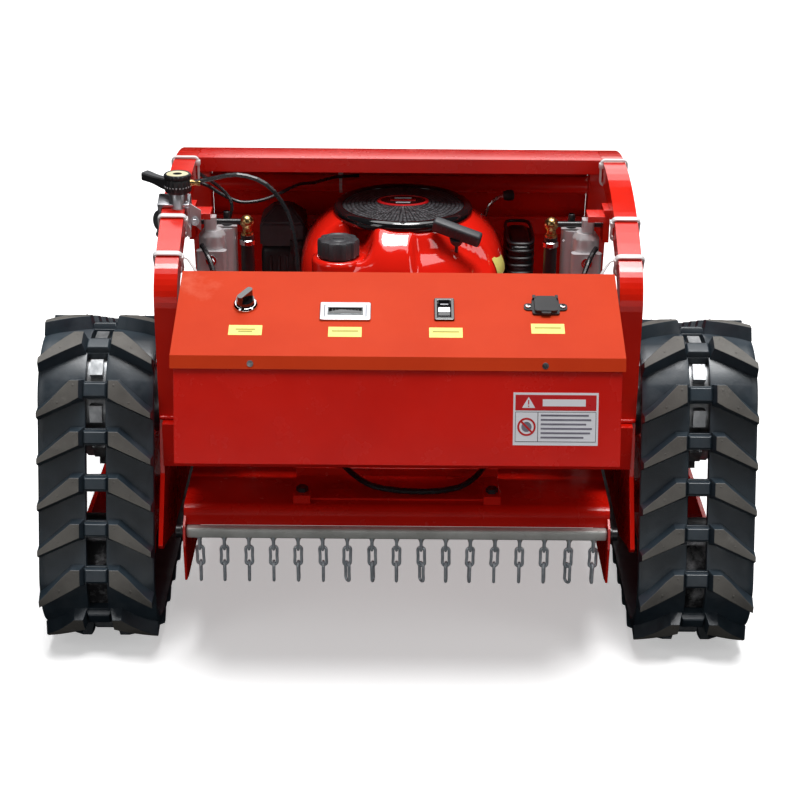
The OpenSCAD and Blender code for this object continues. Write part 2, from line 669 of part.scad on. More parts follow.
module gearmotor(left) {
    gear_near = 205;
    motor_l = 130;
    color(steel) on_side(left) translate([0, drive_y, drive_z]) difference() {
        union() {
            yz(gear_near, hoop_in - gear_near) polygon(rr(86, 86, 12));
            xcyl(gear_near - motor_l, motor_l + 1, 37, 64);
            xcyl(gear_near - motor_l - 8, 9, 30, 64);
            xcyl(hoop_in - 1, 34, 24.5, 64);
            xcyl(side_plate_x + plate_t, 14, 46, 64);
        }
        xcyl(218, 120, crank_r + run_gap);
    }
}

// ---- Deck ----
module deck_outline(inset) {
    corner = 12 - inset;
    polygon(concat([[deck_near + inset, side_z]],
        arc_pts([deck_near + 12, deck_z - 12], corner, 180, 90, 6),
        arc_pts([deck_far - 12, deck_z - 12], corner, 90, 0, 6),
        [[deck_far - inset, side_z]]));
}
module deck_shell() {
    half = deck_w / 2;
    color(paint) difference() {
        union() {
            yz(-half, deck_w) deck_outline(0);
            both() yz(half - deck_t, deck_t) polygon([[deck_near + 10, side_z],
                [deck_near - 16, side_z + 4], [deck_near - 20, bar_z - 14],
                [deck_near - 14, bar_z + 12], [deck_near + 10, deck_z - 8]]);
            both() rblock([act_x - 2, act_y, deck_z - 1], 44, 30, pad_h + 1, 4);
            both() rblock([strut_x - 3, strut_y, deck_z - 1], 22, 22, pad_h + 1, 4);
            both() for (s = [-1, 1]) block([act_x + s * 15 - 2, act_y - 10, deck_z + pad_h - 1],
                [act_x + s * 15 + 2, act_y + 10, deck_z + 40]);
        }
        yz(-half + deck_t, deck_w - 2 * deck_t) deck_outline(deck_t);
        block([-half + deck_t, deck_near - 5, side_z - 5], [half - deck_t, deck_near + 25, skirt_z]);
        block([-half - 1, deck_near - 30, side_z - 5], [half + 1, deck_far + 5, side_z + 0.01]);
        both() translate([0, bar_y, bar_z]) xcyl(half - 10, 20, 5);
        translate([eng_x, eng_y, deck_z - 20]) cylinder(h = 40, r = 30, $fn = 64);
        for (a = [45:90:359]) translate([eng_x, eng_y, deck_z - 20]) rotate([0, 0, a]) translate([72, 0, 0])
            cylinder(h = 40, r = 5, $fn = 32);
    }
}
module deck_flap() {
    w = 268;
    color(paint) translate([0, 0, deck_z]) {
        difference() {
            union() {
                block([-w / 2, -334, 0.2], [w / 2, -262, 3.2]);
                block([-w / 2, -266, 2], [w / 2, -263, 14]);
                both() block([w / 2 - 22, -345, 0.2], [w / 2, -320, 12]);
            }
            both() translate([w / 2 - 11, -330, -1]) cylinder(h = 20, r = 5.1, $fn = 32);
        }
    }
}
module deck_bolts() {
    color(black) {
        both() translate([134 - 11, -330, deck_z + 12]) {
            cylinder(h = 6, r = 8, $fn = 6);
            translate([0, 0, -11.5]) cylinder(h = 12, r = 5, $fn = 32);
        }
        both() translate([0, bar_y, bar_z]) {
            xcyl(deck_w / 2, 3, 11, 32);
            xcyl(deck_w / 2 + 3, 7, 8.5, 32);
            xcyl(deck_w / 2 - deck_t - 0.5, deck_t + 1, 5 - run_gap, 32);
        }
    }
}
module chain_bar() {
    inner = deck_w / 2 - deck_t - 0.5;
    color(steel) {
        translate([0, bar_y, bar_z]) xcyl(-inner, 2 * inner, bar_r);
        for (i = [0:chains - 1]) translate([(i - (chains - 1) / 2) * chain_gap, bar_y, 0])
            rotate([0, 0, 90]) chain_link(link1_z);
    }
}
module chain_curtain() {
    color(steel) for (i = [0:chains - 1]) translate([(i - (chains - 1) / 2) * chain_gap, bar_y, 0]) {
        chain_link(link2_z);
        rotate([0, 0, 90]) chain_link(link3_z);
    }
}

// ---- Engine ----
module engine_block() {
    fin_gap = 12;
    color("dimgray") difference() {
        union() {
            rblock([eng_x, eng_y, eng_z], 210, 210, 12, 20);
            rblock([eng_x, eng_y, eng_z + 11], 150, 150, 60, 14);
            translate([eng_x, eng_y + 20, eng_z + 70]) cylinder(h = 36, r = 80, $fn = 64);
            for (i = [0:4]) rblock([eng_x, eng_y + 70, eng_z + 18 + i * fin_gap], fin_w, 90, 5, 8);
        }
        translate([eng_x, eng_y, eng_z - 1]) cylinder(h = 91, r = crank_r + run_gap, $fn = 64);
        for (a = [45:90:359]) translate([eng_x, eng_y, eng_z - 20]) rotate([0, 0, a]) translate([72, 0, 0])
            cylinder(h = 34, r = 5, $fn = 32);
    }
}
module cowl_hull(inset) {
    w = cowl_w - 2 * inset;
    hull() {
        translate([eng_x, eng_y, cowl_z]) linear_extrude(100 - inset) polygon(rr(w, w, 90));
        translate([eng_x, eng_y, cowl_z]) linear_extrude(142 - inset) polygon(rr(w - 40, w - 40, 90));
        translate([eng_x, eng_y, cowl_z])
            cylinder(h = grille_z - cowl_z - 0.3 - inset, r = 96 - inset, $fn = 48);
    }
}
module engine_cowl() {
    skin = 3;
    cap_well_r = 33;
    color("red") difference() {
        union() {
            cowl_hull(0);
            translate([cap_at[0], cap_at[1], 420]) cylinder(h = cap_z - 420, r = 34, $fn = 48);
        }
        translate([0, 0, -skin]) cowl_hull(skin);
        translate([cap_at[0], cap_at[1], 400]) cylinder(h = 90, r = 22, $fn = 48);
        translate([cap_at[0], cap_at[1], cap_z]) cylinder(h = 60, r = cap_well_r, $fn = 48);
        at_starter() translate([0, 0, -40]) cylinder(h = 60, r = 5, $fn = 24);
        translate([eng_x, eng_y, 450]) cylinder(h = 70, r = 60, $fn = 48);
    }
}
module starter_grille() {
    color(black) translate([eng_x, eng_y, grille_z]) difference() {
        union() {
            cylinder(h = 5, r = grille_d / 2, $fn = 96);
            cylinder(h = 9, r = grille_d / 2 - 6, $fn = 96);
        }
        for (ring = [1:3]) for (a = [0:15:359]) rotate([0, 0, a]) translate([30 + ring * 15, 0, -1])
            cylinder(h = 20, r = 3.2, $fn = 24);
    }
}
module fuel_cap() {
    lobes = 12;
    color(black) translate([cap_at[0], cap_at[1], cap_z + 0.3]) {
        cylinder(h = 27, r = 27.5, $fn = 64);
        for (a = [0:360 / lobes:359]) rotate([0, 0, a]) translate([26, -4, 3]) cube([4.5, 8, 20]);
        translate([0, 0, -14]) cylinder(h = 15, r = 21.5, $fn = 48);
    }
}
module at_starter() { translate(starter_at) rotate([starter_lean, 0, 0]) children(); }
module starter_handle() {
    color(black) at_starter() {
        translate([0, 0, 19]) rotate([0, 16, -14]) rotate([90, 0, 90])
            translate([0, 0, -34]) linear_extrude(68) polygon(rr(20, 15, 6));
        translate([0, 0, 3]) cylinder(h = 12, r1 = 7, r2 = 9, $fn = 32);
        translate([0, 0, -rope_l]) cylinder(h = rope_l + 4, r = 2.5, $fn = 24);
    }
}
module air_cleaner() {
    cleaner_at = [-170, 106];
    color(black) {
        rblock([cleaner_at[0], cleaner_at[1], 360], 64, 66, 112, 14);
        rblock([cleaner_at[0], cleaner_at[1], 471], 54, 56, 7, 12);
        block([-160, 84, duct_low], [-141, 108, 361]);
        block([-160, 84, duct_low], [eng_x - fin_w / 2, 108, duct_low + 42]);
    }
}
module muffler() {
    ribs = 6;
    color(black) {
        rblock([172, 40, 372], 38, 110, 84, 8);
        for (i = [0:ribs - 1]) block([164, -6 + i * 17, 455], [180, 0 + i * 17, 466]);
        block([eng_x + fin_w / 2, 67, duct_low], [168, 84, duct_low + 36]);
        block([150, 67, duct_low + 35], [168, 84, 373]);
    }
}
module crankshaft() {
    top = eng_z + 85;
    color(steel) translate([eng_x, eng_y, 0]) {
        translate([0, 0, blade_z + 6]) cylinder(h = top - blade_z - 6, r = crank_r, $fn = 64);
        translate([0, 0, blade_z + 6]) cylinder(h = 34, r = 24, $fn = 64);
        translate([0, 0, blade_z - 10]) cylinder(h = 9.8, r = 11, $fn = 6);
    }
}
module cutter_blade() {
    w = 56;
    t = 5;
    color(steel) translate([eng_x, eng_y, blade_z]) rotate([0, 0, 30]) {
        linear_extrude(t) polygon(rr(blade_l, w, 6));
        for (s = [0, 180]) rotate([0, 0, s]) translate([blade_l / 2 - 90, w / 2 - 2, t - 0.5])
            rotate([25, 0, 0]) cube([86, 16, 4]);
    }
}

placed() chassis_frame();
placed() hoop(true);  // left_hoop
placed() hoop(false);  // right_hoop
placed() front_cover();
placed() cross_tubes();
placed() control_box();
placed() control_lid();
placed() lid_screws();
placed() battery_pack();
placed() drive_controller();
placed() charge_meter();
placed() charging_port();
placed() start_switch();
placed() rocker_frame();
placed() track_frame(true);  // left_track_frame
placed() track_frame(false);  // right_track_frame
placed() track_belt(true);  // left_track_belt
placed() track_belt(false);  // right_track_belt
placed() gearmotor(true);  // left_gearmotor
placed() gearmotor(false);  // right_gearmotor
placed() actuator(true);  // left_actuator
placed() actuator(false);  // right_actuator
placed() gas_struts();
placed() throttle_clamp();
placed() throttle_cable();
placed() cable_ties();
placed() wiring();
placed() start_knob();
placed() rocker_switch();
placed() port_cover();
placed() throttle_lever();
placed() sprocket(true);  // left_sprocket
placed() sprocket(false);  // right_sprocket
placed() idler(true, near_y);  // left_near_idler
placed() idler(false, near_y);  // right_near_idler
placed() idler(true, far_y);  // left_far_idler
placed() idler(false, far_y);  // right_far_idler
for (side = ["left", "right"]) for (i = [1:3])
    placed() roller(side == "left", i);
placed() deck_shell();
placed() deck_flap();
placed() deck_bolts();
placed() chain_bar();
placed() chain_curtain();
placed() engine_block();
placed() engine_cowl();
placed() starter_grille();
placed() fuel_cap();
placed() starter_handle();
placed() air_cleaner();
placed() muffler();
placed() crankshaft();
placed() cutter_blade();
placed() actuator_rod(true);  // left_actuator_rod
placed() actuator_rod(false);  // right_actuator_rod
placed() gas_strut_rods();
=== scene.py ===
"""Looks of the tracked brush mower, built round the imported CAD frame."""
import json
import math

import bmesh
import bpy
from mathutils import Matrix, Quaternion, Vector
from mathutils.noise import noise as smooth_noise


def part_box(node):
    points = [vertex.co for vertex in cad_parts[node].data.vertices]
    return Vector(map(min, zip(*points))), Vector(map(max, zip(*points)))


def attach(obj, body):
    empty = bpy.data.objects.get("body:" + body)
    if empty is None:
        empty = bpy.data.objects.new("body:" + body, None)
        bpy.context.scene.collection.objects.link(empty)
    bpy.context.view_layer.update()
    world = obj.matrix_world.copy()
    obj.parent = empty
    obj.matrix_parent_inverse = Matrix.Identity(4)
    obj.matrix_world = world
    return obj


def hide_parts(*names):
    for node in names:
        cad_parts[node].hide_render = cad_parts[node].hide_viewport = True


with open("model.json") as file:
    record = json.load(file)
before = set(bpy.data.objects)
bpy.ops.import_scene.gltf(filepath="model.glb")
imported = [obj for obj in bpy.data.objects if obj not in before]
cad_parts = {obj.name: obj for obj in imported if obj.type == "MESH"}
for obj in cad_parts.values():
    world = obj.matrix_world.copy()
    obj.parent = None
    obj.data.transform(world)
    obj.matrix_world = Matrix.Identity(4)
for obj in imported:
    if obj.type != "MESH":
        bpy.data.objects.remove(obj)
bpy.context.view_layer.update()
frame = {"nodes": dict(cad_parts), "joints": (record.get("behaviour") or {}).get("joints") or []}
nodes = frame["nodes"]
joints = {j["name"]: j for j in frame["joints"]}
SIDES = {"left": -1, "right": 1}
CROSS_R = 0.0125


# ---- Places taken from the frame ----
def mm(*values):
    """Millimetres as a vector in metres."""
    return Vector(values) / 1000


def low(node):
    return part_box(node)[0]


def high(node):
    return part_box(node)[1]


def middle(node):
    return (low(node) + high(node)) / 2


# ---- Camera, floor and light ----
def make_camera():
    data = bpy.data.cameras.new("camera")
    data.sensor_width = 36
    data.lens = 80.7
    data.clip_end = 50
    camera = bpy.data.objects.new("camera", data)
    target = Vector((0.003, -0.2966, 0.345))
    camera.location = Vector((0.003, -2.4058, 1.2621))
    roll = Quaternion((0, 0, 1), math.radians(0.45))
    look = (target - camera.location).to_track_quat("-Z", "Y")
    camera.rotation_mode = "QUATERNION"
    camera.rotation_quaternion = look @ roll
    bpy.context.scene.collection.objects.link(camera)
    bpy.context.scene.camera = camera


def softbox(name, place, target, size, power):
    data = bpy.data.lights.new(name, "AREA")
    data.shape = "RECTANGLE"
    data.size, data.size_y = size
    data.energy = power
    light = bpy.data.objects.new(name, data)
    light.location = place
    light.rotation_euler = (Vector(target) - light.location).to_track_quat("-Z", "Y").to_euler()
    bpy.context.scene.collection.objects.link(light)


def make_studio():
    world = bpy.data.worlds.new("studio")
    bpy.context.scene.world = world
    world.use_nodes = True
    backdrop = world.node_tree.nodes["Background"]
    backdrop.inputs["Color"].default_value = (1, 1, 1, 1)
    backdrop.inputs["Strength"].default_value = 0.08
    world.cycles_visibility.glossy = False
    bpy.context.scene.view_settings.view_transform = "Standard"
    aim = (0, -0.05, 0.35)
    softbox("top_light", (0.1, 0.1, 2.6), aim, (2.2, 1.8), 34)
    softbox("left_light", (-1.9, -1.9, 1.5), aim, (0.7, 1.8), 7)
    softbox("right_light", (2.0, -1.5, 1.7), aim, (0.6, 1.8), 7)
    softbox("front_card", (0, -2.7, 0.22), (0, 0, 0.22), (3.0, 0.5), 6)
    softbox("rear_light", (0.4, 2.6, 1.6), aim, (2.0, 1.2), 12)
    data = bpy.data.lights.new("key_light", "SUN")
    data.energy = 2.2
    data.angle = math.radians(24)
    key = bpy.data.objects.new("key_light", data)
    key.rotation_euler = Vector((0.05, -0.06, 1)).to_track_quat("Z", "Y").to_euler()
    bpy.context.scene.collection.objects.link(key)
    mesh = bpy.data.meshes.new("floor")
    reach = 14
    mesh.from_pydata([(-reach, -reach, 0), (reach, -reach, 0), (reach, reach, 0), (-reach, reach, 0)],
                     [], [(0, 1, 2, 3)])
    floor = bpy.data.objects.new("floor", mesh)
    bpy.context.scene.collection.objects.link(floor)
    floor.data.materials.append(finish("pale_floor", (1, 1, 1), (0.98, 0.98, 0.98), 0.9, scale=2, glow=0.42))
    floor.visible_glossy = False
    floor.visible_diffuse = False


# ---- Materials ----
def finish(name, colour, shade, rough, metallic=0.0, scale=8.0, rough_spread=0.08, grain=0.0,
           grain_scale=600.0, coat=0.0, scuff=None, scuff_cut=(0.6, 0.75), scuff_scale=9.0,
           spec=0.5, glow=0.0):
    """A surface whose colour drifts between two tones, with uneven gloss and a fine grain.

    scuff is a third colour, of worn or dusty patches, and scuff_cut where in the noise they start
    and are full.
    """
    detail = 5
    material = bpy.data.materials.new(name)
    material.use_nodes = True
    tree = material.node_tree
    shader = tree.nodes["Principled BSDF"]
    shader.inputs["Metallic"].default_value = metallic
    shader.inputs["IOR"].default_value = 1.5
    shader.inputs["Specular IOR Level"].default_value = spec
    if glow:
        shader.inputs["Emission Color"].default_value = (1, 1, 1, 1)
        shader.inputs["Emission Strength"].default_value = glow
    shader.inputs["Coat Weight"].default_value = coat
    shader.inputs["Coat Roughness"].default_value = 0.04
    place = tree.nodes.new("ShaderNodeTexCoord")

    def noise(size, fine, rough_noise=0.55):
        node = tree.nodes.new("ShaderNodeTexNoise")
        node.inputs["Scale"].default_value = size
        node.inputs["Detail"].default_value = fine
        node.inputs["Roughness"].default_value = rough_noise
        tree.links.new(place.outputs["Object"], node.inputs["Vector"])
        return node

    drift = noise(scale, detail)
    ramp = tree.nodes.new("ShaderNodeValToRGB")
    ramp.color_ramp.elements[0].position = 0.35
    ramp.color_ramp.elements[0].color = (*shade, 1)
    ramp.color_ramp.elements[1].position = 0.65
    ramp.color_ramp.elements[1].color = (*colour, 1)
    tree.links.new(drift.outputs["Fac"], ramp.inputs["Fac"])
    tint = ramp.outputs["Color"]
    gloss = tree.nodes.new("ShaderNodeMapRange")
    gloss.inputs["To Min"].default_value = max(rough - rough_spread, 0.02)
    gloss.inputs["To Max"].default_value = rough + rough_spread
    tree.links.new(noise(scale * 3.1, detail).outputs["Fac"], gloss.inputs["Value"])
    rough_out = gloss.outputs["Result"]
    if scuff:
        patches = tree.nodes.new("ShaderNodeMapRange")
        patches.inputs["From Min"].default_value = scuff_cut[0]
        patches.inputs["From Max"].default_value = scuff_cut[1]
        tree.links.new(noise(scuff_scale, 9, 0.68).outputs["Fac"], patches.inputs["Value"])
        mix = tree.nodes.new("ShaderNodeMix")
        mix.data_type = "RGBA"
        mix.inputs["B"].default_value = (*scuff, 1)
        tree.links.new(patches.outputs["Result"], mix.inputs["Factor"])
        tree.links.new(tint, mix.inputs["A"])
        tint = mix.outputs["Result"]
        dull = tree.nodes.new("ShaderNodeMath")
        dull.operation = "MULTIPLY_ADD"
        dull.inputs[1].default_value = 0.25
        tree.links.new(patches.outputs["Result"], dull.inputs[0])
        tree.links.new(rough_out, dull.inputs[2])
        rough_out = dull.outputs["Value"]
    tree.links.new(tint, shader.inputs["Base Color"])
    tree.links.new(rough_out, shader.inputs["Roughness"])
    if grain:
        bump = tree.nodes.new("ShaderNodeBump")
        bump.inputs["Strength"].default_value = grain
        bump.inputs["Distance"].default_value = 0.0004
        tree.links.new(noise(grain_scale, 3).outputs["Fac"], bump.inputs["Height"])
        tree.links.new(bump.outputs["Normal"], shader.inputs["Normal"])
    return material


def make_materials():
    red, deep = (0.74, 0.010, 0.003), (0.64, 0.007, 0.002)
    return {
        "hoop_paint": finish("hoop_enamel", (0.78, 0.016, 0.004), (0.70, 0.011, 0.003), 0.22, coat=0.35,
                             grain=0.10, grain_scale=160, scuff=(0.86, 0.50, 0.44),
                             scuff_cut=(0.70, 0.76), scuff_scale=55),
        "paint": finish("red_enamel", red, deep, 0.26, coat=0.15, spec=0.35, grain=0.10, grain_scale=160,
                        scuff=(0.72, 0.12, 0.07), scuff_cut=(0.72, 0.92), scuff_scale=14),
        # The lid's enamel is the frame's red tinted orange, a painted light tone standing in for the top
        # light on the lid's upward face.
        "lid_paint_lit_tone": finish("lid_enamel_painted_light", (0.62, 0.046, 0.008), (0.57, 0.038, 0.006), 0.5, spec=0.14,
                            grain=0.12, grain_scale=220, scuff=(0.70, 0.15, 0.09),
                            scuff_cut=(0.60, 0.82), scuff_scale=7),
        "cowl": finish("cowl_gloss", (0.86, 0.018, 0.008), (0.80, 0.013, 0.006), 0.09, coat=1.0,
                       rough_spread=0.03, scale=4),
        "rubber": finish("belt_rubber", (0.026, 0.042, 0.056), (0.013, 0.021, 0.030), 0.40,
                         scale=16, rough_spread=0.16, grain=0.35, grain_scale=420, spec=0.8,
                         scuff=(0.040, 0.052, 0.066), scuff_cut=(0.5, 0.8), scuff_scale=22),
        "tread": finish("tread_faces", (0.135, 0.128, 0.115), (0.098, 0.093, 0.084), 0.62, scale=26,
                        grain=0.4, grain_scale=520, scuff=(0.19, 0.18, 0.165), scuff_cut=(0.58, 0.8),
                        scuff_scale=60),
        "zinc": finish("zinc_plate", (0.74, 0.80, 0.85), (0.52, 0.58, 0.63), 0.34, 0.4, scale=70,
                       rough_spread=0.14, grain=0.25, grain_scale=900,
                       scuff=(0.12, 0.11, 0.10), scuff_cut=(0.64, 0.78), scuff_scale=150),
        "bar": finish("bar_steel", (0.72, 0.73, 0.70), (0.56, 0.57, 0.54), 0.45, 0.25, scale=30,
                      grain=0.3, grain_scale=500, scuff=(0.16, 0.13, 0.10), scuff_cut=(0.62, 0.78),
                      scuff_scale=45),
        "bright": finish("machined_steel", (0.66, 0.65, 0.63), (0.42, 0.41, 0.40), 0.27, 1.0, scale=45,
                         rough_spread=0.15, grain=0.2, grain_scale=700, scuff=(0.20, 0.18, 0.16),
                         scuff_cut=(0.58, 0.76), scuff_scale=60),
        "chrome": finish("chrome", (0.80, 0.80, 0.82), (0.68, 0.68, 0.70), 0.10, 1.0, scale=30,
                         rough_spread=0.05),
        "alloy": finish("satin_aluminium", (0.62, 0.63, 0.66), (0.53, 0.54, 0.57), 0.36, 0.95,
                        scale=25, grain=0.18, grain_scale=900),
        "can": finish("actuator_alloy", (0.66, 0.63, 0.64), (0.58, 0.55, 0.56), 0.38, 0.35, scale=25,
                      grain=0.18, grain_scale=900),
        "cast": finish("cast_alloy", (0.33, 0.33, 0.34), (0.24, 0.24, 0.25), 0.55, 0.85, scale=40,
                       grain=0.7, grain_scale=650),
        "brass": finish("brass", (0.62, 0.43, 0.18), (0.46, 0.30, 0.12), 0.28, 1.0, scale=60),
        "black": finish("black_enamel", (0.018, 0.018, 0.020), (0.010, 0.010, 0.012), 0.32, coat=0.2,
                        scale=30, grain=0.2, grain_scale=300, scuff=(0.13, 0.13, 0.14),
                        scuff_cut=(0.62, 0.78), scuff_scale=38),
        # Lighter grey for the grille's cell centres: painted glints, not a colour of the grille.
        "mesh_painted_glint": finish("mesh_painted_glint", (0.12, 0.12, 0.13), (0.010, 0.010, 0.011), 0.4, scale=160),
        "tooth": finish("tooth_steel", (0.46, 0.47, 0.48), (0.24, 0.25, 0.26), 0.36, 0.75, scale=60,
                        rough_spread=0.15, grain=0.3, grain_scale=500),
        "panel": finish("grille_black", (0.006, 0.006, 0.007), (0.004, 0.004, 0.005), 0.36, scale=10,
                        spec=0.3),
        "worn": finish("worn_black_steel", (0.05, 0.05, 0.055), (0.015, 0.015, 0.017), 0.36, 0.5,
                       scale=30, grain=0.3, grain_scale=400, scuff=(0.42, 0.42, 0.43),
                       scuff_cut=(0.52, 0.68), scuff_scale=24),
        "plastic": finish("black_plastic", (0.022, 0.022, 0.024), (0.014, 0.014, 0.016), 0.42,
                          scale=20, grain=0.3, grain_scale=1500),
        "gloss_black": finish("gloss_black", (0.010, 0.010, 0.011), (0.006, 0.006, 0.007), 0.10,
                              coat=1.0, rough_spread=0.04, scale=10),
        "grey_plastic": finish("grey_black_plastic", (0.055, 0.056, 0.062), (0.040, 0.041, 0.046),
                               0.44, scale=30, grain=0.35, grain_scale=1300),
        "jacket": finish("cable_jacket", (0.014, 0.014, 0.016), (0.009, 0.009, 0.010), 0.26,
                         scale=40, rough_spread=0.08),
        "nylon": finish("white_nylon", (0.86, 0.84, 0.83), (0.78, 0.76, 0.76), 0.32, scale=60),
        "yellow": finish("yellow_sticker", (0.93, 0.86, 0.24), (0.90, 0.82, 0.20), 0.30, scale=30),
        "ink": finish("sticker_ink", (0.42, 0.36, 0.05), (0.36, 0.30, 0.04), 0.35, scale=30),
        "white": finish("white_sticker", (0.82, 0.82, 0.86), (0.78, 0.78, 0.82), 0.30, scale=20),
        "sign_red": finish("sign_red", (0.60, 0.010, 0.012), (0.54, 0.008, 0.010), 0.30, scale=20),
        "grey_ink": finish("grey_ink", (0.20, 0.19, 0.24), (0.15, 0.14, 0.18), 0.35, scale=40),
        "dial": finish("cream_dial", (0.80, 0.75, 0.50), (0.72, 0.67, 0.42), 0.35, scale=60),
        "glass": finish("meter_glass", (0.52, 0.66, 0.68), (0.34, 0.44, 0.47), 0.12, coat=1.0,
                        scale=40),
    }


# ---- Mesh helpers ----
def add_piece(name, bm, materials, body, replaces=(), sharp=35):
    """Makes a finished piece from a bmesh that is already in place in the frame."""
    bmesh.ops.recalc_face_normals(bm, faces=bm.faces)
    mesh = bpy.data.meshes.new(name)
    bm.to_mesh(mesh)
    bm.free()
    for key in ([materials] if isinstance(materials, str) else materials):
        mesh.materials.append(looks[key])
    mesh.polygons.foreach_set("use_smooth", [True] * len(mesh.polygons))
    mesh.set_sharp_from_angle(angle=math.radians(sharp))
    piece = bpy.data.objects.new(name, mesh)
    bpy.context.scene.collection.objects.link(piece)
    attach(piece, body)
    if replaces:
        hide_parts(*([replaces] if isinstance(replaces, str) else replaces))
    return piece


def bevel(piece, width, segments=2, angle=35):
    edge = piece.modifiers.new("edges", "BEVEL")
    edge.width = width
    edge.segments = segments
    edge.limit_method = "ANGLE"
    edge.angle_limit = math.radians(angle)
    edge.harden_normals = True
    return piece


def soften(node, material, width=0.0008, segments=2):
    """Gives a CAD node its material, and rounds its edges with modifiers only."""
    piece = nodes[node]
    piece.data.materials.clear()
    piece.data.materials.append(looks[material])
    weld = piece.modifiers.new("weld", "WELD")
    weld.merge_threshold = 0.00002
    flat = piece.modifiers.new("flat", "DECIMATE")
    flat.decimate_type = "DISSOLVE"
    flat.angle_limit = math.radians(0.7)
    bevel(piece, width, segments, 32)
    piece.modifiers["edges"].use_clamp_overlap = True
    normals = piece.modifiers.new("normals", "WEIGHTED_NORMAL")
    normals.keep_sharp = True


def add_box(bm, size, place, turn=None, edge=0.0, segments=2, material=0):
    """A block with rounded edges, centred on place."""
    spot = Matrix.Translation(place) @ (turn or Matrix.Identity(4))
    made = bmesh.ops.create_cube(bm, size=1, matrix=spot @ Matrix.Diagonal((*size, 1)))
    verts = made["verts"]
    faces = {f for v in verts for f in v.link_faces}
    if edge:
        edges = {e for f in faces for e in f.edges}
        out = bmesh.ops.bevel(bm, geom=list(edges), offset=edge, segments=segments, profile=0.5,
                              affect="EDGES", clamp_overlap=True)
        faces = {f for f in faces if f.is_valid} | set(out["faces"])
    for face in faces:
        face.material_index = material
    return faces


def add_lathe(bm, profile, place, turn=None, steps=48, wave=None, material=0):
    """Turns a profile of (radius, height) pairs about Z; wave(angle, i) scales a ring's radius."""
    spot = Matrix.Translation(place) @ (turn or Matrix.Identity(4))
    rings = []
    for i, (radius, height) in enumerate(profile):
        if radius < 1e-6:
            rings.append([bm.verts.new(spot @ Vector((0, 0, height)))] * steps)
            continue
        ring = []
        for k in range(steps):
            angle = 2 * math.pi * k / steps
            r = radius * (wave(angle, i) if wave else 1)
            ring.append(bm.verts.new(spot @ Vector((r * math.cos(angle), r * math.sin(angle), height))))
        rings.append(ring)
    for a, b in zip(rings, rings[1:]):
        for k in range(steps):
            corners = [a[k], a[(k + 1) % steps], b[(k + 1) % steps], b[k]]
            corners = list(dict.fromkeys(corners))
            if len(corners) > 2:
                bm.faces.new(corners).material_index = material
    return rings


def join_rings(bm, rings, closed=True, material=0):
    """Quads between each row of vertices and the next; closed rows also join end to end."""
    for a, b in zip(rings, rings[1:]):
        for k in range(len(a) if closed else len(a) - 1):
            n = (k + 1) % len(a)
            bm.faces.new([a[k], a[n], b[n], b[k]]).material_index = material


def add_tube(bm, points, radius, sides=10, material=0, closed=False):
    """A round rod swept along points; radius may be a function of the point's number."""
    count = len(points)
    rings = []
    side = None
    for i, p in enumerate(points):
        ahead = points[(i + 1) % count] if closed else points[min(i + 1, count - 1)]
        behind = points[i - 1] if closed else points[max(i - 1, 0)]
        along = (ahead - behind).normalized()
        if side is None:
            side = along.orthogonal().normalized()
        side = (side - along * side.dot(along)).normalized()
        up = along.cross(side)
        r = radius(i) if callable(radius) else radius
        rings.append([bm.verts.new(p + r * (math.cos(a) * side + math.sin(a) * up))
                      for a in (2 * math.pi * k / sides for k in range(sides))])
    pairs = list(zip(rings, rings[1:])) + ([(rings[-1], rings[0])] if closed else [])
    for n, (a, b) in enumerate(pairs):
        shift = 0
        if closed and n == len(pairs) - 1:
            shift = min(range(sides), key=lambda k: (a[0].co - b[k].co).length)
        for k in range(sides):
            bm.faces.new([a[k], a[(k + 1) % sides], b[(k + 1 + shift) % sides],
                          b[(k + shift) % sides]]).material_index = material
    if not closed:
        bm.faces.new(list(reversed(rings[0]))).material_index = material
        bm.faces.new(rings[-1]).material_index = material


def curve_through(points, steps=8):
    """Catmull-Rom points through a given route."""
    out = []
    for i in range(len(points) - 1):
        a, b = points[max(i - 1, 0)], points[i]
        c, d = points[i + 1], points[min(i + 2, len(points) - 1)]
        for j in range(steps):
            t = j / steps
            out.append(0.5 * (2 * b + (c - a) * t + (2 * a - 5 * b + 4 * c - d) * t * t
                              + (3 * b - a - 3 * c + d) * t ** 3))
    return out + [points[-1]]


def facing(direction):
    """A turn that takes +Z to direction."""
    return Vector(direction).to_track_quat("Z", "Y").to_matrix().to_4x4()


def add_hex_bolt(bm, place, direction, across, tall):
    """A socket head bolt on a washer, standing out along direction."""
    turn = facing(direction)
    axis = Vector(direction).normalized()
    r = across / 2 / math.cos(math.pi / 6)
    add_lathe(bm, [(0, 0), (r * 1.45, 0), (r * 1.5, 0.0004), (r * 1.45, 0.0014), (0, 0.0014)],
              place, turn, 28)
    base = place + axis * 0.0012
    add_lathe(bm, [(0, 0), (r, 0), (r, tall * 0.85), (r * 0.86, tall), (r * 0.5, tall),
                   (r * 0.45, tall * 0.92), (0, tall * 0.92)], base, turn, 6)


def add_weld(bm, start, end, radius):
    """A weld bead: overlapping ripples along a line."""
    count = max(int((end - start).length / 0.0012), 4)
    points = [start.lerp(end, i / count) for i in range(count + 1)]
    for i, p in enumerate(points):
        jitter = Vector((smooth_noise(p * 700), smooth_noise(p * 640 + Vector((3, 1, 7))), 0))
        points[i] = p + jitter * radius * 0.25
    add_tube(bm, points, lambda i: radius * (0.82 + 0.2 * abs(math.sin(i * 1.15)))
             * (0.35 if i in (0, count) else 1), 8)


# ---- Rubber tracks ----
PITCH, WINDOWS, TEETH = 0.060, 32, 9
BELT_W, BELT_T, LUG_H = 0.150, 0.012, 0.017
FIRST_TOOTH = math.radians(24)


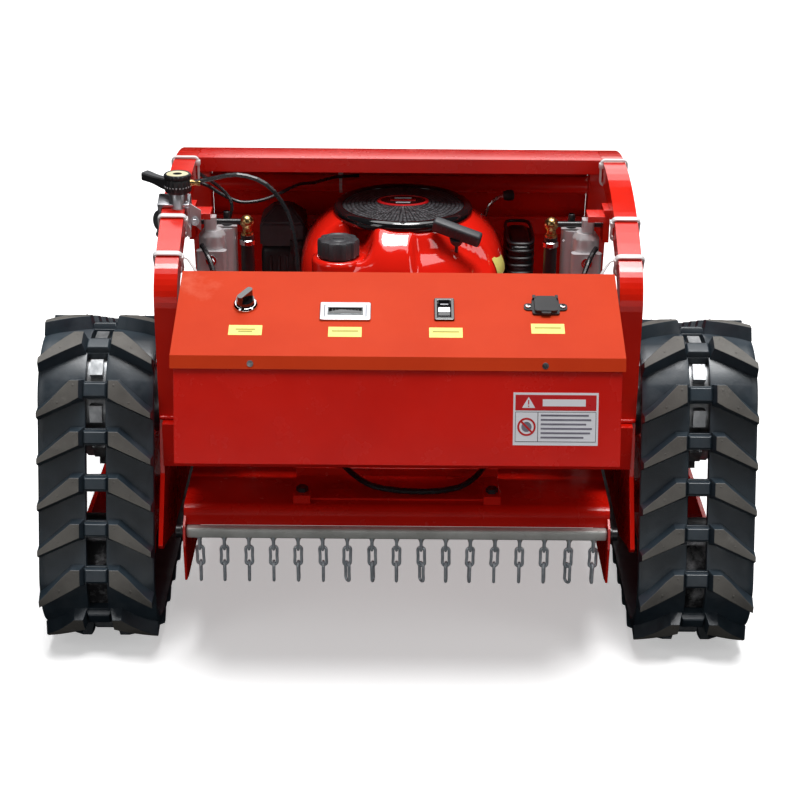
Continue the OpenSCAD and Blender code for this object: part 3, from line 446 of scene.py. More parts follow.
class BeltPath:
    """Neutral line of a belt round its sprocket and two idlers, in the YZ plane."""

    def __init__(self, side):
        wheel = {n: joints[f"{side}_{n}_turn"]["pos_m"] for n in ("drive", "near_idler", "far_idler")}
        idler_r = wheel["near_idler"][2] - LUG_H - BELT_T / 2
        self.x = wheel["drive"][0]
        drive = (*wheel["drive"][1:], TEETH * PITCH / (2 * math.pi))
        near = (*wheel["near_idler"][1:], idler_r)
        far = (*wheel["far_idler"][1:], idler_r)
        full = 2 * math.pi
        n_nf, n_fd = self.normal(near, far), self.normal(far, drive)
        n_dn = self.normal(drive, near) + full
        self.parts = [
            self.arc(drive, n_fd, n_dn), self.run(drive, near, n_dn),
            self.arc(near, n_dn, n_nf + full), self.run(near, far, n_nf + full),
            self.arc(far, n_nf + full, n_fd + full), self.run(far, drive, n_fd + full)]
        self.length = sum(p[0] for p in self.parts)
        self.first_window = drive[2] * FIRST_TOOTH

    @staticmethod
    def normal(a, b):
        gap = math.hypot(b[0] - a[0], b[1] - a[1])
        return math.atan2(b[1] - a[1], b[0] - a[0]) - math.pi / 2 + math.asin((a[2] - b[2]) / gap)

    @staticmethod
    def arc(wheel, start, end):
        def point(t):
            a = start + t / wheel[2]
            return wheel[0] + wheel[2] * math.cos(a), wheel[1] + wheel[2] * math.sin(a), a
        return wheel[2] * (end - start), point

    @staticmethod
    def run(a, b, angle):
        gap = math.hypot(b[0] - a[0], b[1] - a[1])

        def point(t):
            return (a[0] + a[2] * math.cos(angle) - t * math.sin(angle),
                    a[1] + a[2] * math.sin(angle) + t * math.cos(angle), angle)
        return math.sqrt(gap ** 2 - (a[2] - b[2]) ** 2), point

    def at(self, x, s, height):
        """Point at distance s along the belt, height above its neutral line, x from its middle."""
        s %= self.length
        for length, point in self.parts:
            if s <= length:
                break
            s -= length
        y, z, a = point(s)
        return Vector((self.x + x, y + height * math.cos(a), z + height * math.sin(a)))


def add_belt_band(bm, path):
    """The band of the belt: a closed sheet with a window at every pitch."""
    half, hole = BELT_W / 2, 0.013
    columns = [(-half, -2), (-half + 0.003, -0.6), (-half + 0.010, 0), (-0.04, 0), (-0.018, 0),
               (-hole, -0.8), (-0.005, -0.8)]
    columns = columns + [(-x, h) for x, h in reversed(columns)]
    rows = [-19, -17, 0, 17, 19, 22, 30, 38]
    grid = []
    for i in range(WINDOWS):
        for offset in rows:
            s = path.first_window + i * PITCH + offset / 1000
            outer = [bm.verts.new(path.at(x, s, BELT_T / 2 + h / 1000)) for x, h in columns]
            inner = [bm.verts.new(path.at(x, s, -BELT_T / 2 - h / 2000)) for x, h in columns]
            grid.append((outer, inner))
    count, width = len(grid), len(columns)
    is_hole = [[k % len(rows) < 4 and abs(columns[c][0] + columns[c + 1][0]) < 2 * hole
                for c in range(width - 1)] for k in range(count)]
    for k in range(count):
        (outer, inner), (outer2, inner2) = grid[k], grid[(k + 1) % count]
        bm.faces.new([outer[0], outer2[0], inner2[0], inner[0]])
        bm.faces.new([outer[-1], inner[-1], inner2[-1], outer2[-1]])
        for c in range(width - 1):
            if is_hole[k][c]:
                if not is_hole[k][c - 1]:
                    bm.faces.new([outer[c], outer2[c], inner2[c], inner[c]])
                if not is_hole[k][c + 1]:
                    bm.faces.new([outer[c + 1], inner[c + 1], inner2[c + 1], outer2[c + 1]])
                if not is_hole[k - 1][c]:
                    bm.faces.new([outer[c], inner[c], inner[c + 1], outer[c + 1]])
                if not is_hole[(k + 1) % count][c]:
                    bm.faces.new([outer2[c], outer2[c + 1], inner2[c + 1], inner2[c]])
                continue
            bm.faces.new([outer[c], outer[c + 1], outer2[c + 1], outer2[c]])
            bm.faces.new([inner[c], inner2[c], inner2[c + 1], inner[c + 1]])


def add_lug(bm, path, s, sign):
    """Half of a chevron lug, with drafted sides and a flat face, bent with the belt."""
    base_h, top_h = BELT_T / 2 - 0.001, BELT_T / 2 + LUG_H
    draft = 0.0045

    def edges(x):
        t = max(x - 0.031, 0) / 0.043
        u = (x - 0.019) / 0.055
        return -0.009 + 0.036 * t, 0.009 + 0.025 * max(u, 0)

    stations = [(0.0145, 0.019), (0.025, 0.025), (0.031, 0.031), (0.042, 0.042), (0.053, 0.053),
                (0.064, 0.064), (0.0748, 0.0735)]
    rows = []
    for base_x, top_x in stations:
        upper, lower = edges(top_x)
        profile = [(base_x, upper - draft, base_h), (top_x, upper, top_h),
                   (top_x, (upper + lower) / 2, top_h), (top_x, lower, top_h),
                   (base_x, lower + draft, base_h)]
        rows.append([bm.verts.new(path.at(sign * x, s + ds, h)) for x, ds, h in profile])
    for a, b in zip(rows, rows[1:]):
        for k in range(4):
            face = bm.faces.new([a[k], a[k + 1], b[k + 1], b[k]])
            face.material_index = 1 if k in (1, 2) else 0
    bm.faces.new(rows[0])
    bm.faces.new(rows[-1])
    bottom = [r[0] for r in rows] + [r[4] for r in reversed(rows)]
    bm.faces.new(bottom)


def add_mould_mark(bm, path, x, s):
    """A small raised round mark, left by a vent pin of the mould."""
    top = BELT_T / 2 + LUG_H
    radius, sides = 0.0016, 10
    centre = bm.verts.new(path.at(x, s, top + 0.0007))
    ring = [bm.verts.new(path.at(x + radius * math.cos(a), s + radius * math.sin(a), top - 0.0001))
            for a in (2 * math.pi * k / sides for k in range(sides))]
    for k in range(sides):
        bm.faces.new([centre, ring[k], ring[(k + 1) % sides]]).material_index = 1


def add_bridge(bm, path, s):
    """The raised rib that joins the two halves of a lug between the windows."""
    base_h, top_h = BELT_T / 2 - 0.002, BELT_T / 2 + 0.0075
    levels = [(0.0165, 0.0095, base_h), (0.0145, 0.0082, top_h - 0.0015), (0.0130, 0.0068, top_h)]
    rings = []
    for half_x, half_s, h in levels:
        corners = [(-half_x, -half_s), (half_x, -half_s), (half_x, 0), (half_x, half_s),
                   (-half_x, half_s), (-half_x, 0)]
        rings.append([bm.verts.new(path.at(x, s + ds, h)) for x, ds in corners])
    join_rings(bm, rings)
    bm.faces.new([rings[-1][k] for k in (0, 1, 2, 5)])
    bm.faces.new([rings[-1][k] for k in (5, 2, 3, 4)])
    bm.faces.new(rings[0])


def make_tracks():
    for side in SIDES:
        path = BeltPath(side)
        bm = bmesh.new()
        add_belt_band(bm, path)
        for i in range(WINDOWS):
            s = path.first_window + (i + 0.5) * PITCH
            add_bridge(bm, path, s)
            for sign in (-1, 1):
                add_lug(bm, path, s, sign)
                add_mould_mark(bm, path, sign * 0.026, s - 0.004)
                add_mould_mark(bm, path, sign * 0.046, s + 0.014)
        belt = add_piece(f"{side}_belt", bm, ("rubber", "tread"), "chassis",
                         f"{side}_track_belt", sharp=40)
        bevel(belt, 0.0009, 2, 38)


# ---- Engine ----
def smoothstep(low_edge, high_edge, value):
    t = min(max((value - low_edge) / (high_edge - low_edge), 0), 1)
    return t * t * (3 - 2 * t)


def make_cowl():
    """The red cowl: rounded square below, round at the grille, with hollows for cap and handle."""
    base, top = low("engine_cowl"), high("engine_cowl")
    centre = middle("engine_cowl")
    half = (top.x - base.x) / 2
    cap, grip_x = middle("fuel_cap"), middle("starter_handle").x
    ledge = low("fuel_cap").z + 0.013
    steps = 144
    levels = [(0.0, 0.975, 3.0), (0.10, 0.99, 3.0), (0.30, 1.0, 3.0), (0.50, 1.0, 2.9),
              (0.60, 0.995, 2.8), (0.66, 0.985, 2.7), (0.72, 0.965, 2.6), (0.77, 0.94, 2.5),
              (0.82, 0.905, 2.4), (0.865, 0.865, 2.3), (0.905, 0.82, 2.2), (0.94, 0.775, 2.1),
              (0.965, 0.735, 2.05), (0.985, 0.70, 2.0), (0.995, 0.675, 2.0), (1.0, 0.64, 2.0)]
    fine = []
    for a, b in zip(levels, levels[1:]):
        fine += [tuple(p + (q - p) * t for p, q in zip(a, b)) for t in (0, 0.5)]
    fine.append(levels[-1])
    bm = bmesh.new()
    rings = []
    for height, width, power in fine:
        ring = []
        for k in range(steps):
            a = 2 * math.pi * k / steps
            c, s = math.cos(a), math.sin(a)
            r = half * width / (abs(c) ** power + abs(s) ** power) ** (1 / power)
            p = Vector((centre.x + r * c, centre.y + r * s, base.z + height * (top.z - base.z)))
            crown = smoothstep(0.55, 0.75, height)
            near_cap = math.hypot(p.x - cap.x, p.y - cap.y)
            if crown and near_cap < 0.052:
                dip = 1 - smoothstep(0.036, 0.052, near_cap)
                p.z = p.z + (min(p.z, ledge) - p.z) * dip * crown
            right = smoothstep(grip_x - 0.062, grip_x - 0.054, p.x) * (1 - smoothstep(
                grip_x + 0.030, grip_x + 0.062, p.x))
            front = smoothstep(-0.070, -0.085, p.y - centre.y) if p.y < centre.y else 0
            p.z -= 0.016 * right * front * crown * smoothstep(1.02, 0.93, height)
            fold = math.exp(-((p.x - centre.x + 0.030) / 0.012) ** 2) * front * crown
            p.z += 0.0035 * fold
            ring.append(bm.verts.new(p))
        rings.append(ring)
    join_rings(bm, rings)
    cowl = add_piece("cowl_shell", bm, "cowl", "deck", "engine_cowl", sharp=80)
    skin = cowl.modifiers.new("skin", "SOLIDIFY")
    skin.thickness = 0.0025
    skin.offset = -1
    bm = bmesh.new()
    seat = Vector((cap.x, cap.y, ledge))
    add_lathe(bm, [(0.022, -0.030), (0.036, -0.030), (0.0365, -0.004), (0.035, 0.0005), (0.031, 0.0022),
                   (0.027, 0.001), (0.0235, -0.004), (0.022, -0.012), (0.022, -0.030)], seat, steps=64)
    add_piece("filler_neck", bm, "cowl", "deck", sharp=60)


def make_grille():
    """The recoil grille: a glossy rim round a perforated dome with a plain plaque."""
    spot = middle("starter_grille")
    spot.z = low("starter_grille").z
    bm = bmesh.new()
    add_lathe(bm, [(0.083, 0.000), (0.0955, -0.003), (0.0975, 0.001), (0.0975, 0.005), (0.0955, 0.0088),
                   (0.0915, 0.0112), (0.0875, 0.0115), (0.0850, 0.0100), (0.0835, 0.0075),
                   (0.083, 0.000)], spot, steps=96)
    add_piece("grille_rim", bm, "gloss_black", "deck", "starter_grille", 70)
    bm = bmesh.new()
    sectors, rings, inner, outer = 84, 12, 0.018, 0.0842

    def dome(r):
        return 0.0115 - 0.0045 * (r / outer) ** 2

    grid = []
    for j in range(rings + 1):
        r = inner + (outer - inner) * j / rings
        grid.append([bm.verts.new(spot + Vector((r * math.cos(a), r * math.sin(a), dome(r))))
                     for a in (2 * math.pi * k / sectors for k in range(sectors))])
    cells = []
    for j in range(rings):
        for k in range(sectors):
            if j < 6 and k % 2:
                continue
            step = 2 if j < 6 else 1
            if j == 5:
                corners = [grid[j][k], grid[j][(k + 2) % sectors], grid[j + 1][(k + 2) % sectors],
                           grid[j + 1][(k + 1) % sectors], grid[j + 1][k]]
            else:
                corners = [grid[j][k], grid[j][(k + step) % sectors],
                           grid[j + 1][(k + step) % sectors], grid[j + 1][k]]
            cells.append(bm.faces.new(corners))
    bm.faces.new(grid[0][::2])
    for lonely in [v for v in bm.verts if not v.link_faces]:
        bm.verts.remove(lonely)
    bmesh.ops.inset_individual(bm, faces=cells, thickness=0.0011, depth=0, use_even_offset=True)
    bmesh.ops.inset_individual(bm, faces=cells, thickness=0.0009, depth=-0.0006)
    # The cells' recessed centres take the lighter grey: painted glints of light on the grille's mesh.
    for face in cells:
        face.material_index = 1
    add_piece("grille_panel", bm, ("panel", "mesh_painted_glint"), "deck", sharp=50)
    bm = bmesh.new()
    oval = Matrix.Diagonal((1, 0.66, 1, 1))
    lift = spot + Vector((0, 0.004, dome(0.02)))
    add_lathe(bm, [(0, -0.001), (0.036, -0.001), (0.0365, 0.0008), (0.035, 0.0022), (0.032, 0.0022),
                   (0.0315, 0.0016), (0, 0.0016)], lift, oval, 64)
    for face in bm.faces:
        r = (face.calc_center_median() - lift).xy
        if math.hypot(r.x, r.y / 0.66) < 0.0312:
            face.material_index = 1
    for y, w in ((0.010, 0.024), (-0.011, 0.020)):
        add_box(bm, (w, 0.0022, 0.0006), lift + Vector((0, y, 0.0019)), material=2)
    add_box(bm, (0.036, 0.0075, 0.0006), lift + Vector((0, -0.001, 0.0019)), edge=0.0002, material=3)
    add_piece("grille_plaque", bm, ("sign_red", "gloss_black", "white", "grey_plastic"), "deck")
    bm = bmesh.new()
    for flip in (-1, 1):
        add_box(bm, (0.0085, 0.0016, 0.0014), spot + Vector((flip * 0.0030, -0.0912, 0.0112)),
                Matrix.Rotation(math.radians(flip * 55), 4, "Z"), 0.0004)
    add_piece("grille_arrow", bm, "grey_plastic", "deck")


def make_fuel_cap():
    spot = middle("fuel_cap")
    spot.z = high("fuel_cap").z - 0.027
    lobes = 10

    def crown(angle, ring):
        if ring in (3, 4, 5, 6):
            wave = math.cos(angle * lobes)
            return 1 + 0.045 * max(min(wave * 3.0, 1), -1)
        return 1

    bm = bmesh.new()
    add_lathe(bm, [(0, -0.0105), (0.0215, -0.0105), (0.0215, 0.000), (0.0255, 0.0010), (0.0272, 0.0030),
                   (0.0272, 0.0215), (0.0258, 0.0245), (0.0215, 0.0262), (0.0195, 0.0262),
                   (0.0180, 0.0250), (0.0130, 0.0247), (0.0115, 0.0257), (0, 0.0262)],
              spot, steps=120, wave=crown)
    add_box(bm, (0.015, 0.009, 0.0016), spot + Vector((0, 0, 0.0262)), None, 0.0006)
    add_piece("filler_cap_crown", bm, "grey_plastic", "filler_cap", "fuel_cap", 30)


def make_handle():
    """The recoil handle, with its collar and the first of the rope."""
    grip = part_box("starter_handle")
    along = Vector(joints["starter_pull"]["axis"]).normalized()
    # The bar sits at the top of the node's box; the rope runs down along the pull.
    centre = Vector(((grip[0].x + grip[1].x) / 2, 0, 0))
    centre.z = grip[1].z - 0.0145
    centre.y = grip[0].y + 0.0205
    turn = (Matrix.Rotation(math.radians(-14), 4, "Z") @ Matrix.Rotation(math.radians(16), 4, "Y")
            @ Matrix.Rotation(math.radians(24), 4, "X"))
    bm = bmesh.new()
    add_box(bm, (0.068, 0.0145, 0.0195), centre, turn, 0.0035, 3)
    for i in range(7):
        for face_side in (-1, 1):
            spot = centre + turn.to_3x3() @ Vector((-0.021 + i * 0.007, face_side * 0.0070, 0))
            add_box(bm, (0.0022, 0.0016, 0.0115), spot, turn, 0.0005, 1)
    foot = centre - along * 0.011
    add_lathe(bm, [(0, -0.010), (0.0055, -0.010), (0.0085, -0.006), (0.0100, 0.001), (0, 0.001)], foot,
              facing(along), 24)
    add_tube(bm, [foot - along * d for d in (0.008, 0.03, 0.06, 0.09, 0.112)], 0.0024, 8)
    add_piece("recoil_handle", bm, "grey_plastic", "pull_handle", "starter_handle")


def make_air_cleaner():
    """The case hangs from the node's top, because the node's box reaches down to the duct."""
    a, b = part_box("air_cleaner")
    width, tall = 0.064, 0.118
    case_z = b.z - tall
    centre = Vector((a.x + width / 2, (a.y + b.y) / 2, 0))
    depth, seam = b.y - a.y, case_z + 0.062
    bm = bmesh.new()
    add_box(bm, (width, depth, seam - case_z - 0.0012), centre + Vector((0, 0, (case_z + seam) / 2)),
            None, 0.009, 3)
    made = add_box(bm, (width + 0.002, depth + 0.002, b.z - seam), centre + Vector((0, 0, (seam + b.z) / 2)),
                   None, 0.0, material=1)
    hood_edges = {e for f in made for e in f.edges}
    tops = [e for e in hood_edges if min(v.co.z for v in e.verts) > b.z - 0.001]
    out = bmesh.ops.bevel(bm, geom=tops, offset=0.021, segments=1, affect="EDGES")
    for face in out["faces"]:
        face.material_index = 1
    uprights = list({e for f in bm.faces if f.material_index == 1 for e in f.edges})
    out = bmesh.ops.bevel(bm, geom=uprights, offset=0.003, segments=2, affect="EDGES",
                          clamp_overlap=True)
    for face in out["faces"]:
        face.material_index = 1
    for i in range(4):
        add_box(bm, (0.005, 0.002, 0.034), centre + Vector((-0.018 + i * 0.012, -depth / 2 - 0.0005,
                                                            seam - 0.030)), None, 0.0008, 1)
    add_box(bm, (0.018, 0.006, 0.022), centre + Vector((width / 2 - 0.012, -depth / 2 - 0.003, seam)),
            None, 0.0015, 2)
    duct_x, duct_y = a.x + 0.0515, centre.y - 0.010
    add_box(bm, (0.019, 0.024, case_z + 0.001 - a.z), Vector((duct_x, duct_y, (a.z + case_z) / 2)),
            None, 0.003, 2)
    add_box(bm, (b.x - duct_x, 0.0236, 0.040), Vector(((b.x + duct_x) / 2, duct_y, a.z + 0.0205)),
            None, 0.003, 2)
    add_piece("air_cleaner_case", bm, ("plastic", "grey_plastic"), "deck",
              "air_cleaner")


def make_muffler():
    a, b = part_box("muffler")
    body_x, body_z = b.x - 0.019, b.z - 0.094
    centre = Vector((body_x, a.y + 0.055, 0))
    bm = bmesh.new()
    add_box(bm, (0.034, 0.106, 0.080), centre + Vector((0, 0, body_z + 0.042)), None, 0.010, 4)
    for i in range(8):
        z = body_z + 0.010 + i * 0.0108
        loop = []
        for k in range(28):
            t = 2 * math.pi * k / 28
            c, s = math.cos(t), math.sin(t)
            loop.append(centre + Vector((0.0185 * math.copysign(abs(c) ** 0.45, c),
                                         0.0545 * math.copysign(abs(s) ** 0.45, s), z)))
        add_tube(bm, loop, 0.0026, 8, closed=True)
    drop = centre + mm(-13, 35.5, 0)
    pipe = curve_through([Vector((drop.x, drop.y, body_z + 0.010)), Vector((drop.x, drop.y, a.z + 0.050)),
                          Vector((drop.x - 0.012, drop.y, a.z + 0.022)), Vector((a.x, drop.y, a.z + 0.018))])
    add_tube(bm, pipe, 0.0085, 14, 1)
    add_piece("exhaust_guard", bm, ("black", "worn"), "deck", "muffler")


def make_engine_extras():
    """The sticker on the cowl's right side, the choke rod and a tie on the cross tube."""
    base, top, centre = low("engine_cowl"), high("engine_cowl"), middle("engine_cowl")
    half = (top.x - base.x) / 2
    bm = bmesh.new()
    rows = []
    for height in (0.60, 0.64, 0.68, 0.72, 0.75):
        width = 0.9975 - 1.9 * max(height - 0.61, 0) ** 1.7
        row = []
        for k in range(9):
            a = math.radians(-33 + 16 * k / 8)
            r = (half * width + 0.0012) / (abs(math.cos(a)) ** 2.7 + abs(math.sin(a)) ** 2.7) ** (1 / 2.7)
            row.append(bm.verts.new(Vector((centre.x + r * math.cos(a), centre.y + r * math.sin(a),
                                            base.z + height * (top.z - base.z)))))
        rows.append(row)
    join_rings(bm, rows, closed=False)
    add_piece("cowl_sticker", bm, "yellow", "deck", sharp=60)
    bm = bmesh.new()
    rod = curve_through([mm(118, 78, 424), mm(122, 80, 462), mm(129, 84, 486), mm(143, 86, 499),
                         mm(152, 86, 501)])
    add_tube(bm, rod, 0.0026, 10)
    add_lathe(bm, [(0, -0.007), (0.006, -0.006), (0.0078, -0.001), (0.0078, 0.006), (0.006, 0.009),
                   (0, 0.010)], mm(156, 86, 502), facing((1, 0, 0.1)), 24, material=1)
    add_piece("choke_rod", bm, ("bright", "plastic"), "deck")
    tube = Vector((-0.087, low("cross_tubes").y + CROSS_R, high("cross_tubes").z - CROSS_R))
    bm = bmesh.new()
    add_lathe(bm, [(0.0127, -0.0022), (0.0140, -0.0022), (0.0140, 0.0022), (0.0127, 0.0022)], tube,
              facing((1, 0, 0)), 32)
    add_box(bm, (0.0075, 0.006, 0.006), tube + Vector((0, -0.004, 0.0150)), None, 0.001)
    add_box(bm, (0.0042, 0.0012, 0.024), tube + Vector((0, -0.005, 0.0280)), Matrix.Rotation(0.12, 4, "X"))
    add_piece("tube_tie", bm, "nylon", "chassis")


# ---- Lid and box details ----
LID_A, FRONT_A = math.radians(18.325), math.radians(74)
LID_DEPTH, LID_RISE = 0.157, 0.052
LID_TURN = Matrix.Rotation(LID_A, 4, "X")
FRONT_TURN = Matrix.Rotation(FRONT_A, 4, "X")


def on_lid(x, s, lift=0.0):
    """A place on the lid, in mm: x across, s up the slope from its front edge, lift off its face."""
    edge = Vector((0, high("control_lid").y - LID_DEPTH, high("control_lid").z - LID_RISE))
    return edge + LID_TURN.to_3x3() @ mm(x, s, lift)


def on_front(x, z, lift=0.0):
    """A place on the leaning front of the box, in mm: x across, z above the floor."""
    rise = z / 1000 - low("control_box").z
    foot = Vector((0, low("control_box").y + rise / math.tan(FRONT_A), z / 1000))
    return foot + FRONT_TURN.to_3x3() @ mm(x, 0, lift)


def make_lid_labels():
    bm = bmesh.new()
    for x, s in ((-187, 48), (-65, 46), (58.5, 46), (183.7, 55)):
        add_box(bm, (0.041, 0.019, 0.0004), on_lid(x, s, 0.15), LID_TURN, material=0)
        for k, wide in enumerate((0.024, 0.017) if x < -100 else (0.032,)):
            add_box(bm, (wide, 0.0022, 0.0002), on_lid(x, s + 1.5 - k * 4, 0.42), LID_TURN, material=1)
    add_piece("lid_labels", bm, ("yellow", "ink"), "chassis")


def make_danger_label():
    """A plain warning label: bordered, with a red header, a ring with a slash and grey lines."""
    x0, z0 = 191.5, 377

    def patch(wide, tall, dx, dz, layer, material, turn=0.0):
        add_box(bm, (wide, tall, 0.0002), on_front(x0 + dx, z0 + dz * 0.961, 0.1 + layer * 0.16),
                FRONT_TURN @ Matrix.Rotation(turn, 4, "Z"), material=material)

    bm = bmesh.new()
    patch(0.103, 0.0645, 0, 0, 0, 0)
    patch(0.098, 0.019, 0, 20, 1, 1)
    patch(0.098, 0.0368, 0, -9.6, 1, 2)
    patch(0.0265, 0.0355, -35.2, -9.6, 2, 0)
    patch(0.0695, 0.0355, 13.6, -9.6, 2, 0)
    patch(0.052, 0.0085, 10, 20, 2, 0)
    for k, wide in enumerate((0.058, 0.061, 0.055, 0.062, 0.060, 0.052)):
        patch(wide, 0.0022, 13 - (0.062 - wide) * 500, 4.6 - k * 5.4, 3, 3)
    tri = [on_front(x0 + dx, z0 + dz * 0.961, 0.5) for dx, dz in ((-33, 27.0), (-41, 13.6), (-25, 13.6))]
    bm.faces.new([bm.verts.new(v) for v in tri])
    patch(0.0014, 0.0055, -33, 20.6, 3, 1)
    patch(0.0014, 0.0014, -33, 15.6, 3, 1)
    centre = on_front(x0 - 35.2, z0 - 9.2, 0.62)
    ring = Matrix.Translation(centre) @ FRONT_TURN

    def circle(r, lift):
        return [bm.verts.new(ring @ Vector((r * math.cos(t), r * math.sin(t), lift)))
                for t in (2 * math.pi * k / 32 for k in range(32))]

    bm.faces.new(circle(0.0062, 0.00002)).material_index = 3
    join_rings(bm, [circle(0.0088, 0.00004), circle(0.0112, 0.00004)], material=1)
    patch(0.0190, 0.0024, -35.2, -9.6, 3, 1, math.radians(-45))
    add_piece("warning_label", bm, ("white", "sign_red", "grey_plastic", "grey_ink"), "chassis")


def make_meter_and_port():
    bm = bmesh.new()
    spot = (-65.5, 84)
    add_box(bm, (0.0505, 0.0215, 0.0012), on_lid(*spot, 1.75), LID_TURN, material=2)
    add_box(bm, (0.0440, 0.0150, 0.0003), on_lid(*spot, 2.40), LID_TURN, material=0)
    add_box(bm, (0.0415, 0.0125, 0.0006), on_lid(*spot, 2.60), LID_TURN, 0.0002, material=1)
    for k in range(9):
        add_box(bm, (0.0007, 0.004, 0.0002), on_lid(spot[0] - 16 + k * 4, spot[1] + 1, 2.95), LID_TURN,
                material=0)
    add_piece("meter_window", bm, ("gloss_black", "glass", "alloy"), "chassis")
    bm = bmesh.new()
    for x in (-21.5, 21.5):
        head = on_lid(183 + x, 96, 3.5)
        add_lathe(bm, [(0, 0.0006), (0.0033, 0.0004), (0.0036, -0.0004), (0.0036, -0.002)], head,
                  LID_TURN, 24)
        for turn in (0.5, 0.5 + math.pi / 2):
            add_box(bm, (0.0036, 0.0008, 0.0003), head + Vector((0, 0, 0.0007)),
                    LID_TURN @ Matrix.Rotation(turn, 4, "Z"), material=1)
    add_piece("port_screws", bm, ("chrome", "gloss_black"), "chassis")
    bm = bmesh.new()
    add_box(bm, (0.0098, 0.0012, 0.0006), on_lid(57, 98, 2.9), LID_TURN, material=0)
    add_piece("rocker_mark", bm, "white", "chassis")


# ---- Hoop fittings ----
CROWN_R, BEND_R, TUBE = 0.420, 0.045, 0.030
BEND_Z, BEND_END = 0.460, 123
TIE_ANGLES, CLAMP_ANGLE = (121, 112, 90), 108


def hoop_frame(angle):
    """Centre of the left or right hoop's tube at an angle of its bend, in YZ, with its turn."""
    a = math.radians(angle)
    base = low("left_hoop").y + TUBE / 2 + BEND_R
    bend1 = Vector((0, base, BEND_Z))
    out = Vector((0, math.cos(a), math.sin(a)))
    if angle > BEND_END:
        return bend1 + BEND_R * out, Matrix.Rotation(a - math.pi / 2, 4, "X")
    first = math.radians(BEND_END)
    bend2 = bend1 + (BEND_R - CROWN_R) * Vector((0, math.cos(first), math.sin(first)))
    return bend2 + CROWN_R * out, Matrix.Rotation(a - math.pi / 2, 4, "X")


def add_tie(bm, centre, turn, side, wide=0.0064, thick=0.0026, fit=0.0156, tail=None):
    """A nylon tie round the square tube, with its head on the inner top corner."""
    corner, points = 0.0045, []
    for q in range(4):
        cx = (fit - corner + 0.001) * (1 if q in (0, 3) else -1)
        cz = (fit - corner + 0.001) * (1 if q in (0, 1) else -1)
        for i in range(5):
            a = math.radians(q * 90 + i * 22.5)
            points.append((cx, cz, a))
    spot = Matrix.Translation(centre) @ turn
    rings = []
    for cx, cz, a in points:
        ring = []
        for r, y in ((corner, -wide / 2), (corner + thick * 0.75, -wide / 2), (corner + thick, -wide / 4),
                     (corner + thick, wide / 4), (corner + thick * 0.75, wide / 2), (corner, wide / 2)):
            ring.append(bm.verts.new(spot @ Vector((cx + r * math.cos(a), y, cz + r * math.sin(a)))))
        rings.append(ring)
    join_rings(bm, rings + rings[:1])
    head = centre + turn.to_3x3() @ Vector((-side * (fit + 0.002), 0, fit - 0.006))
    add_box(bm, (0.0055, 0.0085, 0.0075), head, turn, 0.001, 2)
    if tail:
        path = curve_through([head + Vector(t) for t in tail], 6)
        for a, b in zip(path, path[1:]):
            mid, way = (a + b) / 2, (b - a)
            add_box(bm, (0.0012, 0.0042, way.length * 1.06), mid,
                    way.to_track_quat("Z", "X").to_matrix().to_4x4())


def make_ties():
    bm = bmesh.new()
    for side in SIDES.values():
        x = side * (high("right_hoop").x - TUBE / 2)
        for angle in TIE_ANGLES:
            centre, turn = hoop_frame(angle)
            centre.x = x
            tail = None
            if angle > 115:
                tail = [(0, 0, 0), (-side * 0.008, 0.002, -0.004), (-side * 0.018, -0.004, -0.018),
                        (-side * 0.024, -0.008, -0.034)]
            elif angle > 100 and side < 0:
                tail = [(0, 0, 0), (0.003, 0.002, -0.010), (0.0035, 0.004, -0.024)]
            add_tie(bm, centre, turn, side, tail=tail)
    add_piece("nylon_ties", bm, "nylon", "chassis", "cable_ties")


